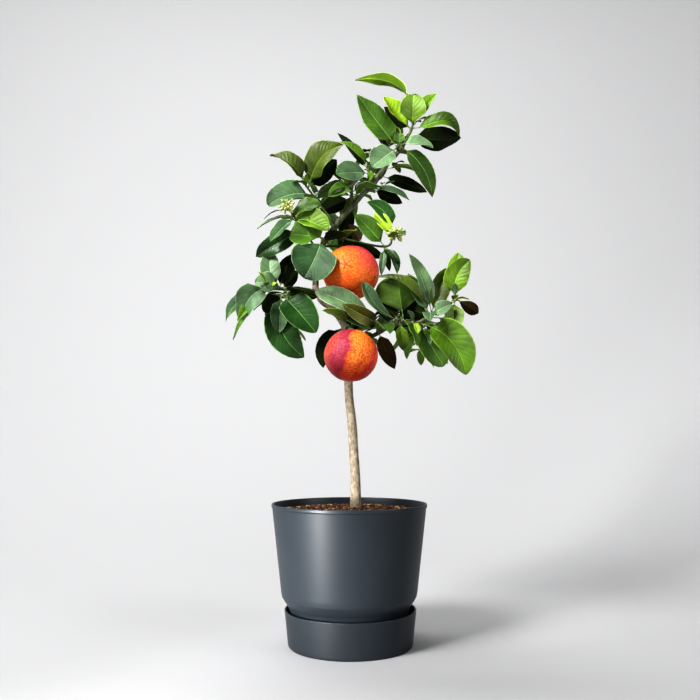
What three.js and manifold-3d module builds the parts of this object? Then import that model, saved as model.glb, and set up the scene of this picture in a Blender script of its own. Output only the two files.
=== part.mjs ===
// A small orange tree in a round plastic pot with a matching saucer.
// Millimetres, +Z up, the saucer's flat underside on z = 0 and its centre at the origin.
// The side the crown turns its best leaves to is -Y.
import * as THREE from 'three';
import { mergeVertices } from 'three/addons/utils/BufferGeometryUtils.js';
import Module from 'manifold-3d';

const wasm = await Module();
wasm.setup();

// Driving sizes of the saucer.
const SAUCER_HEIGHT = 56.4;
const SAUCER_RIM_RADIUS = 105.8;
const SAUCER_FOOT_RADIUS = 97;
const SAUCER_WALL = 3;
const SAUCER_FLOOR = 3;
const FOOT_ROUNDING = 3;

// Driving sizes of the pot.
const POT_RIM_HEIGHT = 222.6;
const POT_RIM_RADIUS = 126.5;
const POT_WALL = 3.2;
const POT_OFFSET_X = -1.8;
const SHOULDER_HEIGHT = 84;
const SHOULDER_RADIUS = 109.6;
const NECK_HEIGHT = 62;
const NECK_RADIUS = 98.6;
const POT_FOOT_RADIUS = 86;
const LIP_HEIGHT = 6;
const LIP_OVERHANG = 1.2;
const LIP_FLARE = 1.5;
const RIM_ROUNDING = 1.2;
const EDGE_BEVEL = 0.6;
const EDGE_DEPTH = 1;
const ROUND_SEGMENTS = 36;

// The soil stands a little below the rim and swells in the middle.
const SOIL_MIDDLE = 214.6;
const SOIL_EDGE = 209;
const SOIL_MOUND_RADIUS = 46;

// Clearances and the plant's own rules.
const GAP = 0.3;
const LIMB_SIDES = 9;
const LIMB_STEPS = 2;
const STEM_SIDES = 5;
const STEM_RADIUS = 2.1;
const STEM_TIP_RADIUS = 1.5;
const PETIOLE_SHARE = 0.14;
const PETIOLE_RADIUS = 1.2;
const LEAF_THICKNESS_SHARE = 0.014;
const THINNEST_LEAF = 1;
const PLAIN_LEAF = { fold: 20, twist: 0, sway: 0, ease: 0.85 };
const BLUNTEST = 0.55;
const SHARPEST = 0.95;
const TIP_BALANCE = 1.25;
const SWAY_SCALE = 10.4;
const SHOWN_STATIONS = [0, 0.13, 0.36, 0.62, 0.86];
const RULE_STATIONS = [0, 0.2, 0.52, 0.82];
const GOLDEN_ANGLE = 2.39996;
const LEAF_CLEARANCE = 5;
const LIMB_CLEARANCE = 3;
const SAMPLES_PER_STEP = 6;
const PETIOLE_SAMPLES = [0.1, 0.2];
const BLADE_SAMPLES = [0.25, 0.45, 0.65, 0.85, 1];
const SAMPLED_WIDTH_SHARE = 0.8;
const FRUIT_SINK = 1.5;
const FRUIT_SIDES = 20;
const FRUIT_RINGS = 12;
const FINEST_STEP = 0.1;
const SAME_PLACE = 1e-4;

const COLOURS = {
  pot: 0x33383d,
  saucer: 0x2f3439,
  soil: 0x6b4630,
  bark: 0x9a8b74,
  young_bark: 0x6d7550,
  foliage: 0x4f7a34,
};

// Limbs, each a run of points x, y, z with the limb's radius there.
const LIMBS = {
  trunk: [
    [8.5, 0, 214.9, 9.6], [8.2, 0, 262, 7.9], [5.5, 0, 305, 7.8], [2.5, 0, 354, 7.6],
    [-2, 0, 392, 7.2], [-3.5, 0, 430, 7.1], [-5.5, 0, 474, 6.9], [-9, 0, 515, 6.6],
  ],
  leader_low: [[-8, 0, 512, 5.7], [-27, 1, 541, 5.5], [-49, 4, 559, 5.4], [-60, 6, 584, 5.3]],
  leader_mid: [[-59, 6, 580, 5.2], [-57, 6, 627, 5.1], [-41, 4, 665, 5], [-14, 2, 702, 4.9]],
  leader_top: [
    [-16, 2, 699, 4.7], [27, 0, 749, 4.3], [59, -2, 788, 3.4], [87, -4, 820, 2.9],
    [104, -5, 852, 2.4],
  ],
  right_bough: [
    [-4, -1, 480, 4.2], [41, -8, 499, 3.6], [80, -18, 519, 3.2], [106, -22, 516, 2.9],
    [130, -28, 526, 2.5],
  ],
  left_bough: [[-58, 5, 574, 3.5], [-90, -4, 578, 3], [-112, -12, 575, 2.4]],
  back_bough: [[-46, 4, 557, 3.6], [-34, 42, 580, 3.1], [-18, 78, 606, 2.4]],
};

// Foliage masses. limb and at: where the stem springs, counted in points along the limb.
// stem: its steps. rows: leaves that show, each with its place on the stem in steps,
// the reach of its tip from there, width, lean of the upper face towards -Y in degrees,
// rise of the midrib and sideways bow, both as a share of the leaf's length. A row may end
// with what isn't plain about the leaf: fold of its halves and twist to its tip in degrees,
// sway of the rise towards the tip, and ease, which moves its widest place.
// leaves: how many more the seeded rule may add within reach of the stem's end.
const MASSES = {
  top_tuft: {
    limb: 'leader_top', at: 4, stem: [[5, -2, 16]], leaves: 0, seed: 15, reach: 62,
    rows: [
      [0.6, -99, 4, 83, 33, 60, 0.05, 0.34, { twist: 140, fold: 14, ease: 0.65 }],
      [0.2, -49, -12, 52, 38, 60, -0.06, 0, { fold: 34 }],
      [0.3, 1, -14, 54, 49, 76, 0.06, 0, { fold: 24 }],
      [0.8, 40, -6, 50, 30, 66, 0.04, 0, { fold: 34, twist: -20 }],
      [0.3, 81, 6, -12, 30, 62, 0.28, 0, { sway: 0.1, fold: 20, twist: 20 }],
      [0.1, -46, 16, 48, 26, -60, 0.04, 0],
    ],
  },
  top_fan: {
    limb: 'leader_top', at: 2.88, stem: [[-4, -9, 3], [18, 2, 24]],
    leaves: 0, seed: 5, reach: 60,
    rows: [
      [1.9, 94, 20, 6, 44, -50, -0.18, 0, { fold: 14 }],
      [1.3, 56, -6, -9, 32, 70, 0.1, 0, { fold: 30, twist: -30 }],
      [1.25, -1, -4, 20, 20, 70, 0.04, 0],
      [1, -69, -6, 92, 48, 66, -0.02, 0, { fold: 12, ease: 0.62 }],
      [1, -44, -12, -38, 46, 76, 0.02, 0, { fold: 22, ease: 1.1 }],
      [1.2, 58, 20, -84, 34, -62, 0, 0.13, { fold: -24 }],
    ],
  },
  upper_right: {
    limb: 'leader_top', at: 1.18, stem: [[4, 12, -2], [22, 4, 36]],
    leaves: 5, seed: 111, reach: 70,
    rows: [
      [2, 71, -6, -19, 24, 22, 0.14, 0, { fold: 30 }],
      [1.7, 80, 0, -29, 24, -56, 0.1, 0],
      [1, 63, -10, -23, 22, 48, 0.08, 0, { fold: 34 }],
      [1, 52, 4, -24, 24, -60, -0.05, 0],
    ],
  },
  upper_left: {
    limb: 'leader_top', at: 1.07, stem: [[2, -10, 34]], leaves: 0, seed: 178, reach: 70,
    rows: [
      [1, -49, -8, 41, 22, 50, 0.08, 0, { fold: 34 }],
      [0.8, -53, 12, 72, 18, -40, 0.06, 0],
      [0.7, -55, -24, -9, 42, 76, 0.05, 0, { ease: 1.05 }],
      [0.4, 10, -14, 4, 18, 75, 0.05, 0],
    ],
  },
  mid_left: {
    limb: 'leader_top', at: 0.3, stem: [[7, -10, 41]], leaves: 6, seed: 66, reach: 70,
    rows: [
      [0.9, -60, -14, -24, 30, 66, 0.16, 0],
      [1, -41, -24, -28, 26, 76, 0.06, 0],
      [0.5, -51, 12, -21, 34, -56, 0.04, 0],
    ],
  },
  left_pair: {
    limb: 'leader_mid', at: 2.61, stem: [[-52, 4, 72]], leaves: 0, seed: 54, reach: 70,
    rows: [
      [1, -61, -6, 50, 40, 58, 0.23, 0, { fold: 30, twist: 20 }],
      [0.93, 61, -22, 68, 58, 70, 0.1, -0.12, { fold: 26, twist: -20, sway: 0.04 }],
      [0.93, 50, 14, 55, 36, -58, 0, 0],
      [0.75, -75, -18, -23, 54, 62, 0.16, 0, { fold: 22, ease: 1 }],
    ],
  },
  left_buds: {
    limb: 'leader_mid', at: 1.33, stem: [[-46, -34, 63]], leaves: 5, seed: 31, reach: 70,
    buds: { count: 4, radius: 6, spread: 6 },
    rows: [
      [1, 51, -10, 9, 32, 64, 0.08, 0, { fold: 20 }],
      [0.85, 57, -28, -29, 46, 66, 0.06, 0, { fold: 30 }],
      [1, -44, 0, -13, 8, 17, 0.16, 0],
      [0.9, -61, 0, -23, 14, 24, 0.08, 0],
      [0.85, -40, -12, -44, 26, 56, 0.06, 0, { fold: 30 }],
      [0.55, -81, 10, -42, 38, 96, 0.14, 0, { fold: 26 }],
    ],
  },
  big_leaf: {
    limb: 'leader_mid', at: 1.55, stem: [[3, -46, 6]], leaves: 4, seed: 31, reach: 80,
    rows: [
      [1, -29, -6, -68, 78, 84, 0.05, -0.05, { fold: 14, ease: 0.95 }],
      [1, -53, 6, 8, 50, 78, 0.05, 0, { fold: 24, ease: 1 }],
      [0.9, -19, -4, 19, 30, 74, 0.05, 0],
    ],
  },
  right_buds: {
    limb: 'leader_mid', at: 2.17, stem: [[94, -20, -25], [13, -6, 24]],
    leaves: 6, seed: 7, reach: 70,
    buds: { count: 3, radius: 6.6, spread: 6 },
    rows: [
      [2, -42, 4, 52, 30, 66, 0.04, 0.16, { fold: 20 }],
      [0.55, -24, 14, 36, 22, -56, 0.04, 0],
      [1, -49, -14, 50, 38, 74, 0.06, 0, { fold: 24 }],
      [1.7, -29, 2, 42, 26, 60, 0.08, 0, { fold: 24 }],
      [1, 20, -8, -48, 16, 66, 0.08, -0.12, { fold: 26 }],
      [1, 9, 10, -40, 12, -40, 0.02, 0],
      [1, -6, -6, -50, 13, 66, 0.03, 0],
      [0.97, 25, -16, -30, 10, 70, 0.06, 0.1],
      [0.2, 20, 14, 49, 30, -60, 0.04, 0],
    ],
  },
  fruit_upper: {
    limb: 'leader_mid', at: 1.64, stem: [[49, -16, -3]], leaves: 5, seed: 88, reach: 90,
    fruit: 47,
    rows: [
      [0.5, 38, 18, 14, 28, -50, 0.05, 0],
      [0.7, 71, 14, -16, 26, -60, 0.06, 0],
    ],
  },
  left_low: {
    limb: 'left_bough', at: 2, stem: [[-24, -6, -2]], leaves: 0, seed: 95, reach: 70,
    rows: [
      [0.3, -13, 8, 67, 36, 76, 0.04, -0.12, { fold: 16 }],
      [0.1, -43, -14, 9, 42, 66, 0.14, 0, { fold: 20, ease: 1.1 }],
      [0.95, -45, -16, -50, 48, 70, 0.42, 0, { fold: 22 }],
      [0.9, -74, 8, -52, 24, 66, 0.3, 0],
      [1, -46, -34, -58, 22, 60, 0.1, 0, { fold: 34 }],
      [1, -57, -2, -84, 12, 40, 0.1, 0],
      [0.3, 20, 14, 63, 32, -60, 0.02, 0],
      [1, 14, -8, 10, 10, 50, 0.1, 0],
      [0.1, 26, 16, 34, 26, -60, 0.04, 0],
    ],
  },
  left_drop: {
    limb: 'left_bough', at: 1.48, stem: [[-12, -20, -14]], leaves: 5, seed: 85, reach: 80,
    rows: [
      [1, 58, -26, -67, 56, 76, 0.08, 0, { fold: 22 }],
      [1, 38, -4, -104, 54, 72, 0.02, 0.18, { fold: 8 }],
      [1, -3, -8, -65, 32, 72, 0.05, 0],
      [0.9, -32, 14, -28, 34, -60, 0.05, 0],
      [1, 58, 12, -2, 28, 66, 0.08, 0],
    ],
  },
  centre_low: {
    limb: 'right_bough', at: 1.07, stem: [[2, -26, 14]], leaves: 5, seed: 107, reach: 70,
    rows: [
      [1, -102, -10, 51, 42, 66, 0.09, 0, { fold: 18, ease: 1.4 }],
      [0.95, -59, -30, 27, 30, 100, 0.22, 0, { fold: 30 }],
      [0.8, -56, -10, 12, 28, 72, 0.04, 0],
      [0.7, -26, 8, 14, 20, -66, 0.04, 0],
      [0.35, 29, 14, -63, 28, -66, -0.12, 0],
    ],
  },
  fruit_lower: {
    limb: 'trunk', at: 6.78, stem: [[4, -30, 6], [5, -26, -11]],
    leaves: 4, seed: 29, reach: 80,
    fruit: 43,
    rows: [
      [0.4, -38, 2, -66, 32, -66, 0, -0.2],
    ],
  },
  right_mid: {
    limb: 'right_bough', at: 1.94, stem: [[2, -10, 2], [6, -4, 4]],
    leaves: 5, seed: 69, reach: 70,
    rows: [
      [2, -9, -14, 66, 86, -80, 0.06, 0, { fold: 24, ease: 1.15 }],
      [1, -60, -22, 61, 26, 64, 0.06, -0.18, { fold: 30, ease: 1.7 }],
      [1, -40, 32, 43, 44, -60, 0.04, 0],
      [1, 8, 14, -49, 22, 70, 0.06, 0],
      [1, 38, 20, 29, 36, -60, 0.04, 0],
    ],
  },
  right_tall: {
    limb: 'right_bough', at: 3.74, stem: [[9, -8, 6]], leaves: 5, seed: 13, reach: 80,
    rows: [
      [1, -38, -18, 96, 30, 56, -0.06, 0.08, { fold: 34 }],
      [0.8, 30, 16, 82, 38, 100, 0.04, 0, { fold: 30 }],
      [0.7, -34, 14, 73, 26, 70, 0.04, 0],
      [0.65, -91, -3, 64, 24, 44, 0.24, 0, { fold: 30 }],
      [1, 31, -14, 15, 26, 70, 0.06, 0],
      [0.6, -45, 21, 18, 42, -60, 0.04, 0],
    ],
  },
  right_tip: {
    limb: 'right_bough', at: 4, stem: [[44, -2, 28]], leaves: 0, seed: 63, reach: 70,
    buds: { count: 2, radius: 4.4, spread: 3 },
    rows: [
      [0.97, 7, 14, 82, 40, 72, 0.04, 0],
      [0.97, 22, -16, 64, 44, 74, 0.04, -0.16, { fold: 24 }],
      [1, 37, 10, -21, 23, -66, 0.04, 0, { ease: 1.6 }],
      [0.95, -2, -12, -52, 34, 70, 0.04, 0.05],
    ],
  },
  right_low: {
    limb: 'right_bough', at: 3.16, stem: [[6, -14, -4]], leaves: 0, seed: 98, reach: 70,
    rows: [
      [1, 67, -24, -85, 60, 70, 0.12, -0.12, { fold: 20 }],
      [0.4, 41, 6, -70, 52, 74, 0.04, 0.03, { fold: 24 }],
    ],
  },
  back_middle: {
    limb: 'back_bough', at: 2, stem: [[6, 22, 18], [6, 20, 20]],
    leaves: 11, seed: 106, reach: 90, rows: [],
  },
  back_right: {
    limb: 'right_bough', at: 1.5, stem: [[18, 50, 20], [14, 36, 20]],
    leaves: 11, seed: 113, reach: 86, rows: [],
  },
  back_left: {
    limb: 'left_bough', at: 1, stem: [[-8, 46, -12], [-4, 32, -10]],
    leaves: 11, seed: 101, reach: 86, rows: [],
  },
  back_upper: {
    limb: 'leader_mid', at: 2.9, stem: [[-24, 50, 30], [-22, 32, 30]],
    leaves: 11, seed: 125, reach: 86, rows: [],
  },
  back_high: {
    limb: 'leader_top', at: 0.6, stem: [[-6, 50, 22], [-2, 32, 20]],
    leaves: 11, seed: 102, reach: 84, rows: [],
  },
  back_top: {
    limb: 'leader_top', at: 2.4, stem: [[-8, 42, 20], [-6, 28, 20]],
    leaves: 11, seed: 66, reach: 80, rows: [],
  },
  back_low: {
    limb: 'right_bough', at: 3.48, stem: [[4, 46, -6], [2, 34, -8]],
    leaves: 11, seed: 18, reach: 80, rows: [],
  },
  back_trunk: {
    limb: 'trunk', at: 6.5, stem: [[6, 48, 8], [4, 34, 2]],
    leaves: 11, seed: 131, reach: 84, rows: [],
  },
};

// What the seeded rule works with: where on the stem the first leaf springs, the shortest
// leaf and how much longer one may be, width and its spread as shares of the length, how
// far it opens from the stem, droop, tilt of the face, rise of the midrib and the stray
// from the golden angle. Angles are in radians, lengths in millimetres.
const RULE = {
  first: 0.45,
  shortest: 54,
  longer: 30,
  width: 0.42,
  wider: 0.1,
  open: 0.75,
  opener: 0.5,
  droop: 0.12,
  tilt: 0.45,
  rise: 0.06,
  riser: 0.1,
  stray: 0.6,
};

// A repeatable run of numbers between 0 and 1.
function seeded(seed) {
  let state = seed;
  return () => {
    state = (Math.imul(state, 1664525) + 1013904223) >>> 0;
    return state / 4294967296;
  };
}

const vector = (values) => new THREE.Vector3(values[0], values[1], values[2]);

// A point on a smooth run through the given points, at counted in points.
function pointOn(points, at) {
  const last = points.length - 1;
  const i = Math.min(Math.floor(at), last - 1);
  const u = at - i;
  const p1 = points[i];
  const p2 = points[i + 1];
  const p0 = i > 0 ? points[i - 1] : p1.map((value, k) => 2 * value - p2[k]);
  const p3 = i + 2 <= last ? points[i + 2] : p2.map((value, k) => 2 * value - p1[k]);
  return p1.map((value, k) => 0.5 * (
    2 * value
    + (p2[k] - p0[k]) * u
    + (2 * p0[k] - 5 * value + 4 * p2[k] - p3[k]) * u * u
    + (3 * value - p0[k] - 3 * p2[k] + p3[k]) * u * u * u
  ));
}

// A closed solid through rings of equal count, with an optional pointed end.
function loft(rings, point) {
  const count = rings[0].length;
  const positions = [];
  rings.flat().forEach((p) => positions.push(p.x, p.y, p.z));
  const faces = [];
  for (let r = 0; r + 1 < rings.length; r += 1) {
    for (let k = 0; k < count; k += 1) {
      const a = r * count + k;
      const b = r * count + (k + 1) % count;
      faces.push(a, b, b + count, a, b + count, a + count);
    }
  }
  for (let k = 1; k + 1 < count; k += 1) {
    faces.push(0, k + 1, k);
  }
  const start = (rings.length - 1) * count;
  if (point) {
    positions.push(point.x, point.y, point.z);
    const tip = rings.length * count;
    for (let k = 0; k < count; k += 1) {
      faces.push(start + k, start + (k + 1) % count, tip);
    }
  } else {
    for (let k = 1; k + 1 < count; k += 1) {
      faces.push(start, start + k, start + k + 1);
    }
  }
  const geometry = new THREE.BufferGeometry();
  geometry.setAttribute('position', new THREE.Float32BufferAttribute(positions, 3));
  geometry.setIndex(faces);
  return geometry;
}

// A tapering round rod through stations of x, y, z and radius.
function rod(stations, sides, swell = 0) {
  const spine = stations.map(vector);
  let side = new THREE.Vector3(1, 0.3, 0);
  const rings = stations.map((station, i) => {
    const from = spine[Math.max(i - 1, 0)];
    const to = spine[Math.min(i + 1, spine.length - 1)];
    const along = to.clone().sub(from).normalize();
    side = side.clone().addScaledVector(along, -side.dot(along)).normalize();
    const other = along.clone().cross(side);
    const atEnd = i === 0 ? -swell : (i === spine.length - 1 ? swell : 0);
    const centre = spine[i].clone().addScaledVector(along, atEnd);
    return Array.from({ length: sides }, (_, k) => {
      const turn = (2 * Math.PI * k) / sides;
      return centre.clone()
        .addScaledVector(side, Math.cos(turn) * (station[3] + swell))
        .addScaledVector(other, Math.sin(turn) * (station[3] + swell));
    });
  });
  return loft(rings);
}

// A limb follows its smooth run; the trunk's foot stays level.
function limbGeometry(name, swell = 0) {
  const points = LIMBS[name];
  const steps = (points.length - 1) * LIMB_STEPS;
  const stations = Array.from({ length: steps + 1 }, (_, i) => pointOn(points, i / LIMB_STEPS));
  return rod(stations, LIMB_SIDES, swell);
}

// Everything a leaf needs: its root, its tip's reach, the way its upper face looks
// and the shares of its blade that get a ring.
function leafFrom(base, chord, width, face, rise, bow, stations, shape = {}) {
  const length = chord.length();
  const ahead = chord.clone().normalize();
  const normal = face.clone().addScaledVector(ahead, -face.dot(ahead)).normalize();
  const across = ahead.clone().cross(normal);
  const bulge = normal.clone().multiplyScalar(rise).addScaledVector(across, bow);
  bulge.multiplyScalar(length);
  const { fold, twist, sway, ease } = { ...PLAIN_LEAF, ...shape };
  return {
    base, chord, width, length, ahead, normal, bulge, stations, ease,
    fold: THREE.MathUtils.degToRad(fold),
    twist: THREE.MathUtils.degToRad(twist),
    wave: normal.clone().multiplyScalar(SWAY_SCALE * sway * length),
  };
}

// A place on the midrib and the directions there.
function midrib(leaf, t) {
  const place = leaf.base.clone().addScaledVector(leaf.chord, t)
    .addScaledVector(leaf.bulge, 4 * t * (1 - t))
    .addScaledVector(leaf.wave, t * (1 - t) * (2 * t - 1));
  const along = leaf.chord.clone().addScaledVector(leaf.bulge, 4 * (1 - 2 * t))
    .addScaledVector(leaf.wave, 6 * t * (1 - t) - 1).normalize();
  const face = leaf.normal.clone().applyAxisAngle(leaf.ahead, leaf.twist * t);
  const across = along.clone().cross(face).normalize();
  const up = across.clone().cross(along);
  return { place, across, up };
}

// Half the blade's width at a share of the blade's length; a slender leaf ends sharper.
function halfWidth(leaf, share) {
  const eased = share ** leaf.ease;
  const slender = TIP_BALANCE - leaf.width / leaf.length;
  const tip = Math.min(Math.max(slender, BLUNTEST), SHARPEST);
  const power = BLUNTEST + (tip - BLUNTEST) * share * share;
  return 0.5 * leaf.width * (4 * eased * (1 - eased)) ** power;
}

function leafRing(leaf, t, half, thick) {
  const { place, across, up } = midrib(leaf, t);
  const lift = half * Math.sin(leaf.fold);
  const reach = half * Math.cos(leaf.fold);
  return [
    place.clone().addScaledVector(across, reach).addScaledVector(up, lift),
    place.clone().addScaledVector(up, -thick),
    place.clone().addScaledVector(across, -reach).addScaledVector(up, lift),
    place.clone().addScaledVector(up, thick),
  ];
}

// A folded blade on its petiole, one closed solid.
function leafGeometry(leaf, swell = 0) {
  const petiole = PETIOLE_RADIUS + swell;
  const thick = Math.max(leaf.length * LEAF_THICKNESS_SHARE, THINNEST_LEAF) / 2 + swell;
  const rings = [leafRing(leaf, 0, petiole, petiole)];
  leaf.stations.forEach((share) => {
    const t = PETIOLE_SHARE + (1 - PETIOLE_SHARE) * share;
    const half = Math.max(halfWidth(leaf, share) + swell, petiole);
    rings.push(leafRing(leaf, t, half, share === 0 ? petiole : thick));
  });
  return loft(rings, midrib(leaf, 1 + swell / leaf.length).place);
}

// The points that stand for a leaf in the clearance tests.
function leafSamples(leaf) {
  const samples = [];
  BLADE_SAMPLES.forEach((t) => {
    const share = (t - PETIOLE_SHARE) / (1 - PETIOLE_SHARE);
    const aside = SAMPLED_WIDTH_SHARE * halfWidth(leaf, share);
    const { place, across } = midrib(leaf, t);
    samples.push(place);
    samples.push(place.clone().addScaledVector(across, aside));
    samples.push(place.clone().addScaledVector(across, -aside));
  });
  return samples;
}

function stemPoints(mass) {
  const points = [pointOn(LIMBS[mass.limb], mass.at).slice(0, 3)];
  mass.stem.forEach((step) => {
    const last = points[points.length - 1];
    points.push(last.map((value, k) => value + step[k]));
  });
  return points;
}

function rowLeaf(points, row) {
  const [at, dx, dy, dz, width, lean, rise, bow, shape] = row;
  const angle = THREE.MathUtils.degToRad(lean);
  const face = new THREE.Vector3(0, -Math.sin(angle), Math.cos(angle));
  const base = vector(pointOn(points, at));
  const chord = new THREE.Vector3(dx, dy, dz);
  return leafFrom(base, chord, width, face, rise, bow, SHOWN_STATIONS, shape);
}

// The next leaf the rule proposes: a turn by the golden angle around the stem.
function proposedLeaf(points, i, count, random) {
  const steps = points.length - 1;
  const at = steps * (RULE.first + (1 - RULE.first) * ((i + 1) / count));
  const base = vector(pointOn(points, at));
  const stem = vector(points[steps]).sub(vector(points[0])).normalize();
  const side = new THREE.Vector3(0, 0, 1).cross(stem).normalize();
  const other = stem.clone().cross(side);
  const turn = i * GOLDEN_ANGLE + random() * RULE.stray;
  const open = RULE.open + RULE.opener * random();
  const length = RULE.shortest + RULE.longer * random();
  const width = length * (RULE.width + RULE.wider * random());
  const rise = RULE.rise + RULE.riser * random();
  const out = side.multiplyScalar(Math.cos(turn)).addScaledVector(other, Math.sin(turn));
  const chord = stem.clone().multiplyScalar(Math.cos(open))
    .addScaledVector(out, Math.sin(open)).multiplyScalar(length);
  chord.z -= RULE.droop * length;
  const face = new THREE.Vector3(out.x * RULE.tilt, out.y * RULE.tilt, 1);
  return leafFrom(base, chord, width, face, rise, 0, RULE_STATIONS);
}

// Points along a run, with the run's radius where it states one.
function runSamples(points) {
  const steps = (points.length - 1) * SAMPLES_PER_STEP;
  return Array.from({ length: steps + 1 }, (_, i) => pointOn(points, i / SAMPLES_PER_STEP));
}

const limbSamples = Object.values(LIMBS).flatMap(runSamples);

// A mass's stem and petioles, which the leaves of other masses keep clear of.
function woodSamples({ points, leaves }) {
  const stem = runSamples(points).map((p) => [...p, STEM_RADIUS]);
  const petioles = leaves.flatMap((leaf) => PETIOLE_SAMPLES.map(
    (t) => [...midrib(leaf, t).place.toArray(), PETIOLE_RADIUS],
  ));
  return [...stem, ...petioles];
}

function keepsClear(leaf, end, reach, taken, wood) {
  const samples = leafSamples(leaf);
  const inReach = samples.every((p) => p.distanceTo(end) < reach);
  const offWood = samples.every((p) => wood.every(
    (s) => p.distanceTo(vector(s)) > s[3] + LIMB_CLEARANCE,
  ));
  const offLeaves = samples.every((p) => taken.every((q) => p.distanceTo(q) > LEAF_CLEARANCE));
  return inReach && offWood && offLeaves;
}

// All leaves of all masses, first the ones that show, then the rule's.
function growLeaves() {
  const grown = {};
  const taken = [];
  Object.entries(MASSES).forEach(([name, mass]) => {
    const points = stemPoints(mass);
    grown[name] = { points, leaves: mass.rows.map((row) => rowLeaf(points, row)) };
    grown[name].leaves.forEach((leaf) => taken.push(...leafSamples(leaf)));
    if (mass.fruit) {
      const centre = fruitCentre(points, mass.fruit);
      sphereSamples(centre, mass.fruit).forEach((p) => taken.push(p));
    }
  });
  Object.entries(MASSES).forEach(([name, mass]) => {
    const random = seeded(mass.seed);
    const { points, leaves } = grown[name];
    const end = vector(points[points.length - 1]);
    const others = Object.keys(MASSES).filter((key) => key !== name);
    const wood = [...limbSamples, ...others.flatMap((key) => woodSamples(grown[key]))];
    for (let i = 0; i < mass.leaves; i += 1) {
      const leaf = proposedLeaf(points, i, mass.leaves, random);
      if (keepsClear(leaf, end, mass.reach, taken, wood)) {
        leaves.push(leaf);
        taken.push(...leafSamples(leaf));
      }
    }
  });
  return grown;
}

function fruitCentre(points, radius) {
  const end = vector(points[points.length - 1]);
  return end.add(new THREE.Vector3(0, 0, FRUIT_SINK - radius));
}

function sphereSamples(centre, radius) {
  const samples = [];
  const rings = FRUIT_RINGS / 2;
  for (let i = 0; i <= rings; i += 1) {
    const height = -Math.PI / 2 + (Math.PI * i) / rings;
    for (let k = 0; k < FRUIT_RINGS; k += 1) {
      const turn = (2 * Math.PI * k) / FRUIT_RINGS;
      samples.push(centre.clone().add(new THREE.Vector3(
        Math.cos(height) * Math.cos(turn),
        Math.cos(height) * Math.sin(turn),
        Math.sin(height),
      ).multiplyScalar(radius)));
    }
  }
  return samples;
}

function fruitGeometry(centre, radius) {
  const geometry = new THREE.SphereGeometry(radius, FRUIT_SIDES, FRUIT_RINGS);
  geometry.translate(centre.x, centre.y, centre.z);
  return geometry;
}

// Small buds crowd round the stem's end, each a little larger or smaller.
function budGeometries(mass, points, swell) {
  const random = seeded(mass.seed);
  const end = vector(points[points.length - 1]);
  const { count, radius, spread } = mass.buds;
  return Array.from({ length: count }, (_, i) => {
    const turn = i * GOLDEN_ANGLE;
    const height = 1 - (2 * i) / (count - 1);
    const flat = Math.sqrt(1 - height * height);
    const size = radius * (0.8 + 0.4 * random());
    const out = new THREE.Vector3(flat * Math.cos(turn), flat * Math.sin(turn), height);
    const place = end.clone().addScaledVector(out, spread * (0.75 + 0.25 * random()));
    const bud = new THREE.IcosahedronGeometry(size + swell, 0);
    bud.translate(place.x, place.y, place.z);
    return bud;
  });
}

// Solids for joining and cutting.
function toSolid(geometry) {
  const bare = geometry.clone();
  bare.deleteAttribute('normal');
  bare.deleteAttribute('uv');
  const merged = mergeVertices(bare, SAME_PLACE);
  return new wasm.Manifold(new wasm.Mesh({
    numProp: 3,
    vertProperties: new Float32Array(merged.attributes.position.array),
    triVerts: new Uint32Array(merged.index.array),
  }));
}

function joined(geometries) {
  return wasm.Manifold.union(geometries.map(toSolid));
}

// The largest body, without its scraps and finest steps.
function mainBody(solid) {
  const bodies = solid.simplify(FINEST_STEP).decompose();
  return bodies.sort((a, b) => b.volume() - a.volume())[0];
}

function toGeometry(solid) {
  const mesh = solid.getMesh();
  const geometry = new THREE.BufferGeometry();
  geometry.setAttribute('position', new THREE.Float32BufferAttribute(mesh.vertProperties, 3));
  geometry.setIndex(Array.from(mesh.triVerts));
  return geometry;
}

function lathe(profile) {
  const outline = profile.map(([radius, height]) => new THREE.Vector2(radius, height));
  const geometry = new THREE.LatheGeometry(outline, ROUND_SEGMENTS);
  geometry.rotateX(Math.PI / 2);
  return geometry;
}

function saucerGeometry() {
  return lathe([
    [0, 0],
    [SAUCER_FOOT_RADIUS, 0],
    [SAUCER_FOOT_RADIUS + FOOT_ROUNDING * 0.7, FOOT_ROUNDING * 0.3],
    [SAUCER_FOOT_RADIUS + FOOT_ROUNDING, FOOT_ROUNDING],
    [SAUCER_RIM_RADIUS, SAUCER_HEIGHT - EDGE_DEPTH],
    [SAUCER_RIM_RADIUS - EDGE_BEVEL, SAUCER_HEIGHT],
    [SAUCER_RIM_RADIUS - SAUCER_WALL + EDGE_BEVEL, SAUCER_HEIGHT],
    [SAUCER_RIM_RADIUS - SAUCER_WALL, SAUCER_HEIGHT - EDGE_DEPTH],
    [SAUCER_FOOT_RADIUS + FOOT_ROUNDING - SAUCER_WALL, SAUCER_FLOOR + 2],
    [SAUCER_FOOT_RADIUS - SAUCER_WALL, SAUCER_FLOOR],
    [0, SAUCER_FLOOR],
  ]);
}

// The outside of the pot from its foot to the lip.
const POT_OUTSIDE = [
  [POT_FOOT_RADIUS, SAUCER_FLOOR + GAP],
  [POT_FOOT_RADIUS + 3, SAUCER_FLOOR + 4],
  [NECK_RADIUS - 3, NECK_HEIGHT - 8],
  [NECK_RADIUS, NECK_HEIGHT],
  [SHOULDER_RADIUS - 4.5, SHOULDER_HEIGHT - 12],
  [SHOULDER_RADIUS - 1.4, SHOULDER_HEIGHT - 7],
  [SHOULDER_RADIUS, SHOULDER_HEIGHT],
  [POT_RIM_RADIUS - LIP_OVERHANG, POT_RIM_HEIGHT - LIP_HEIGHT],
];

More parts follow.
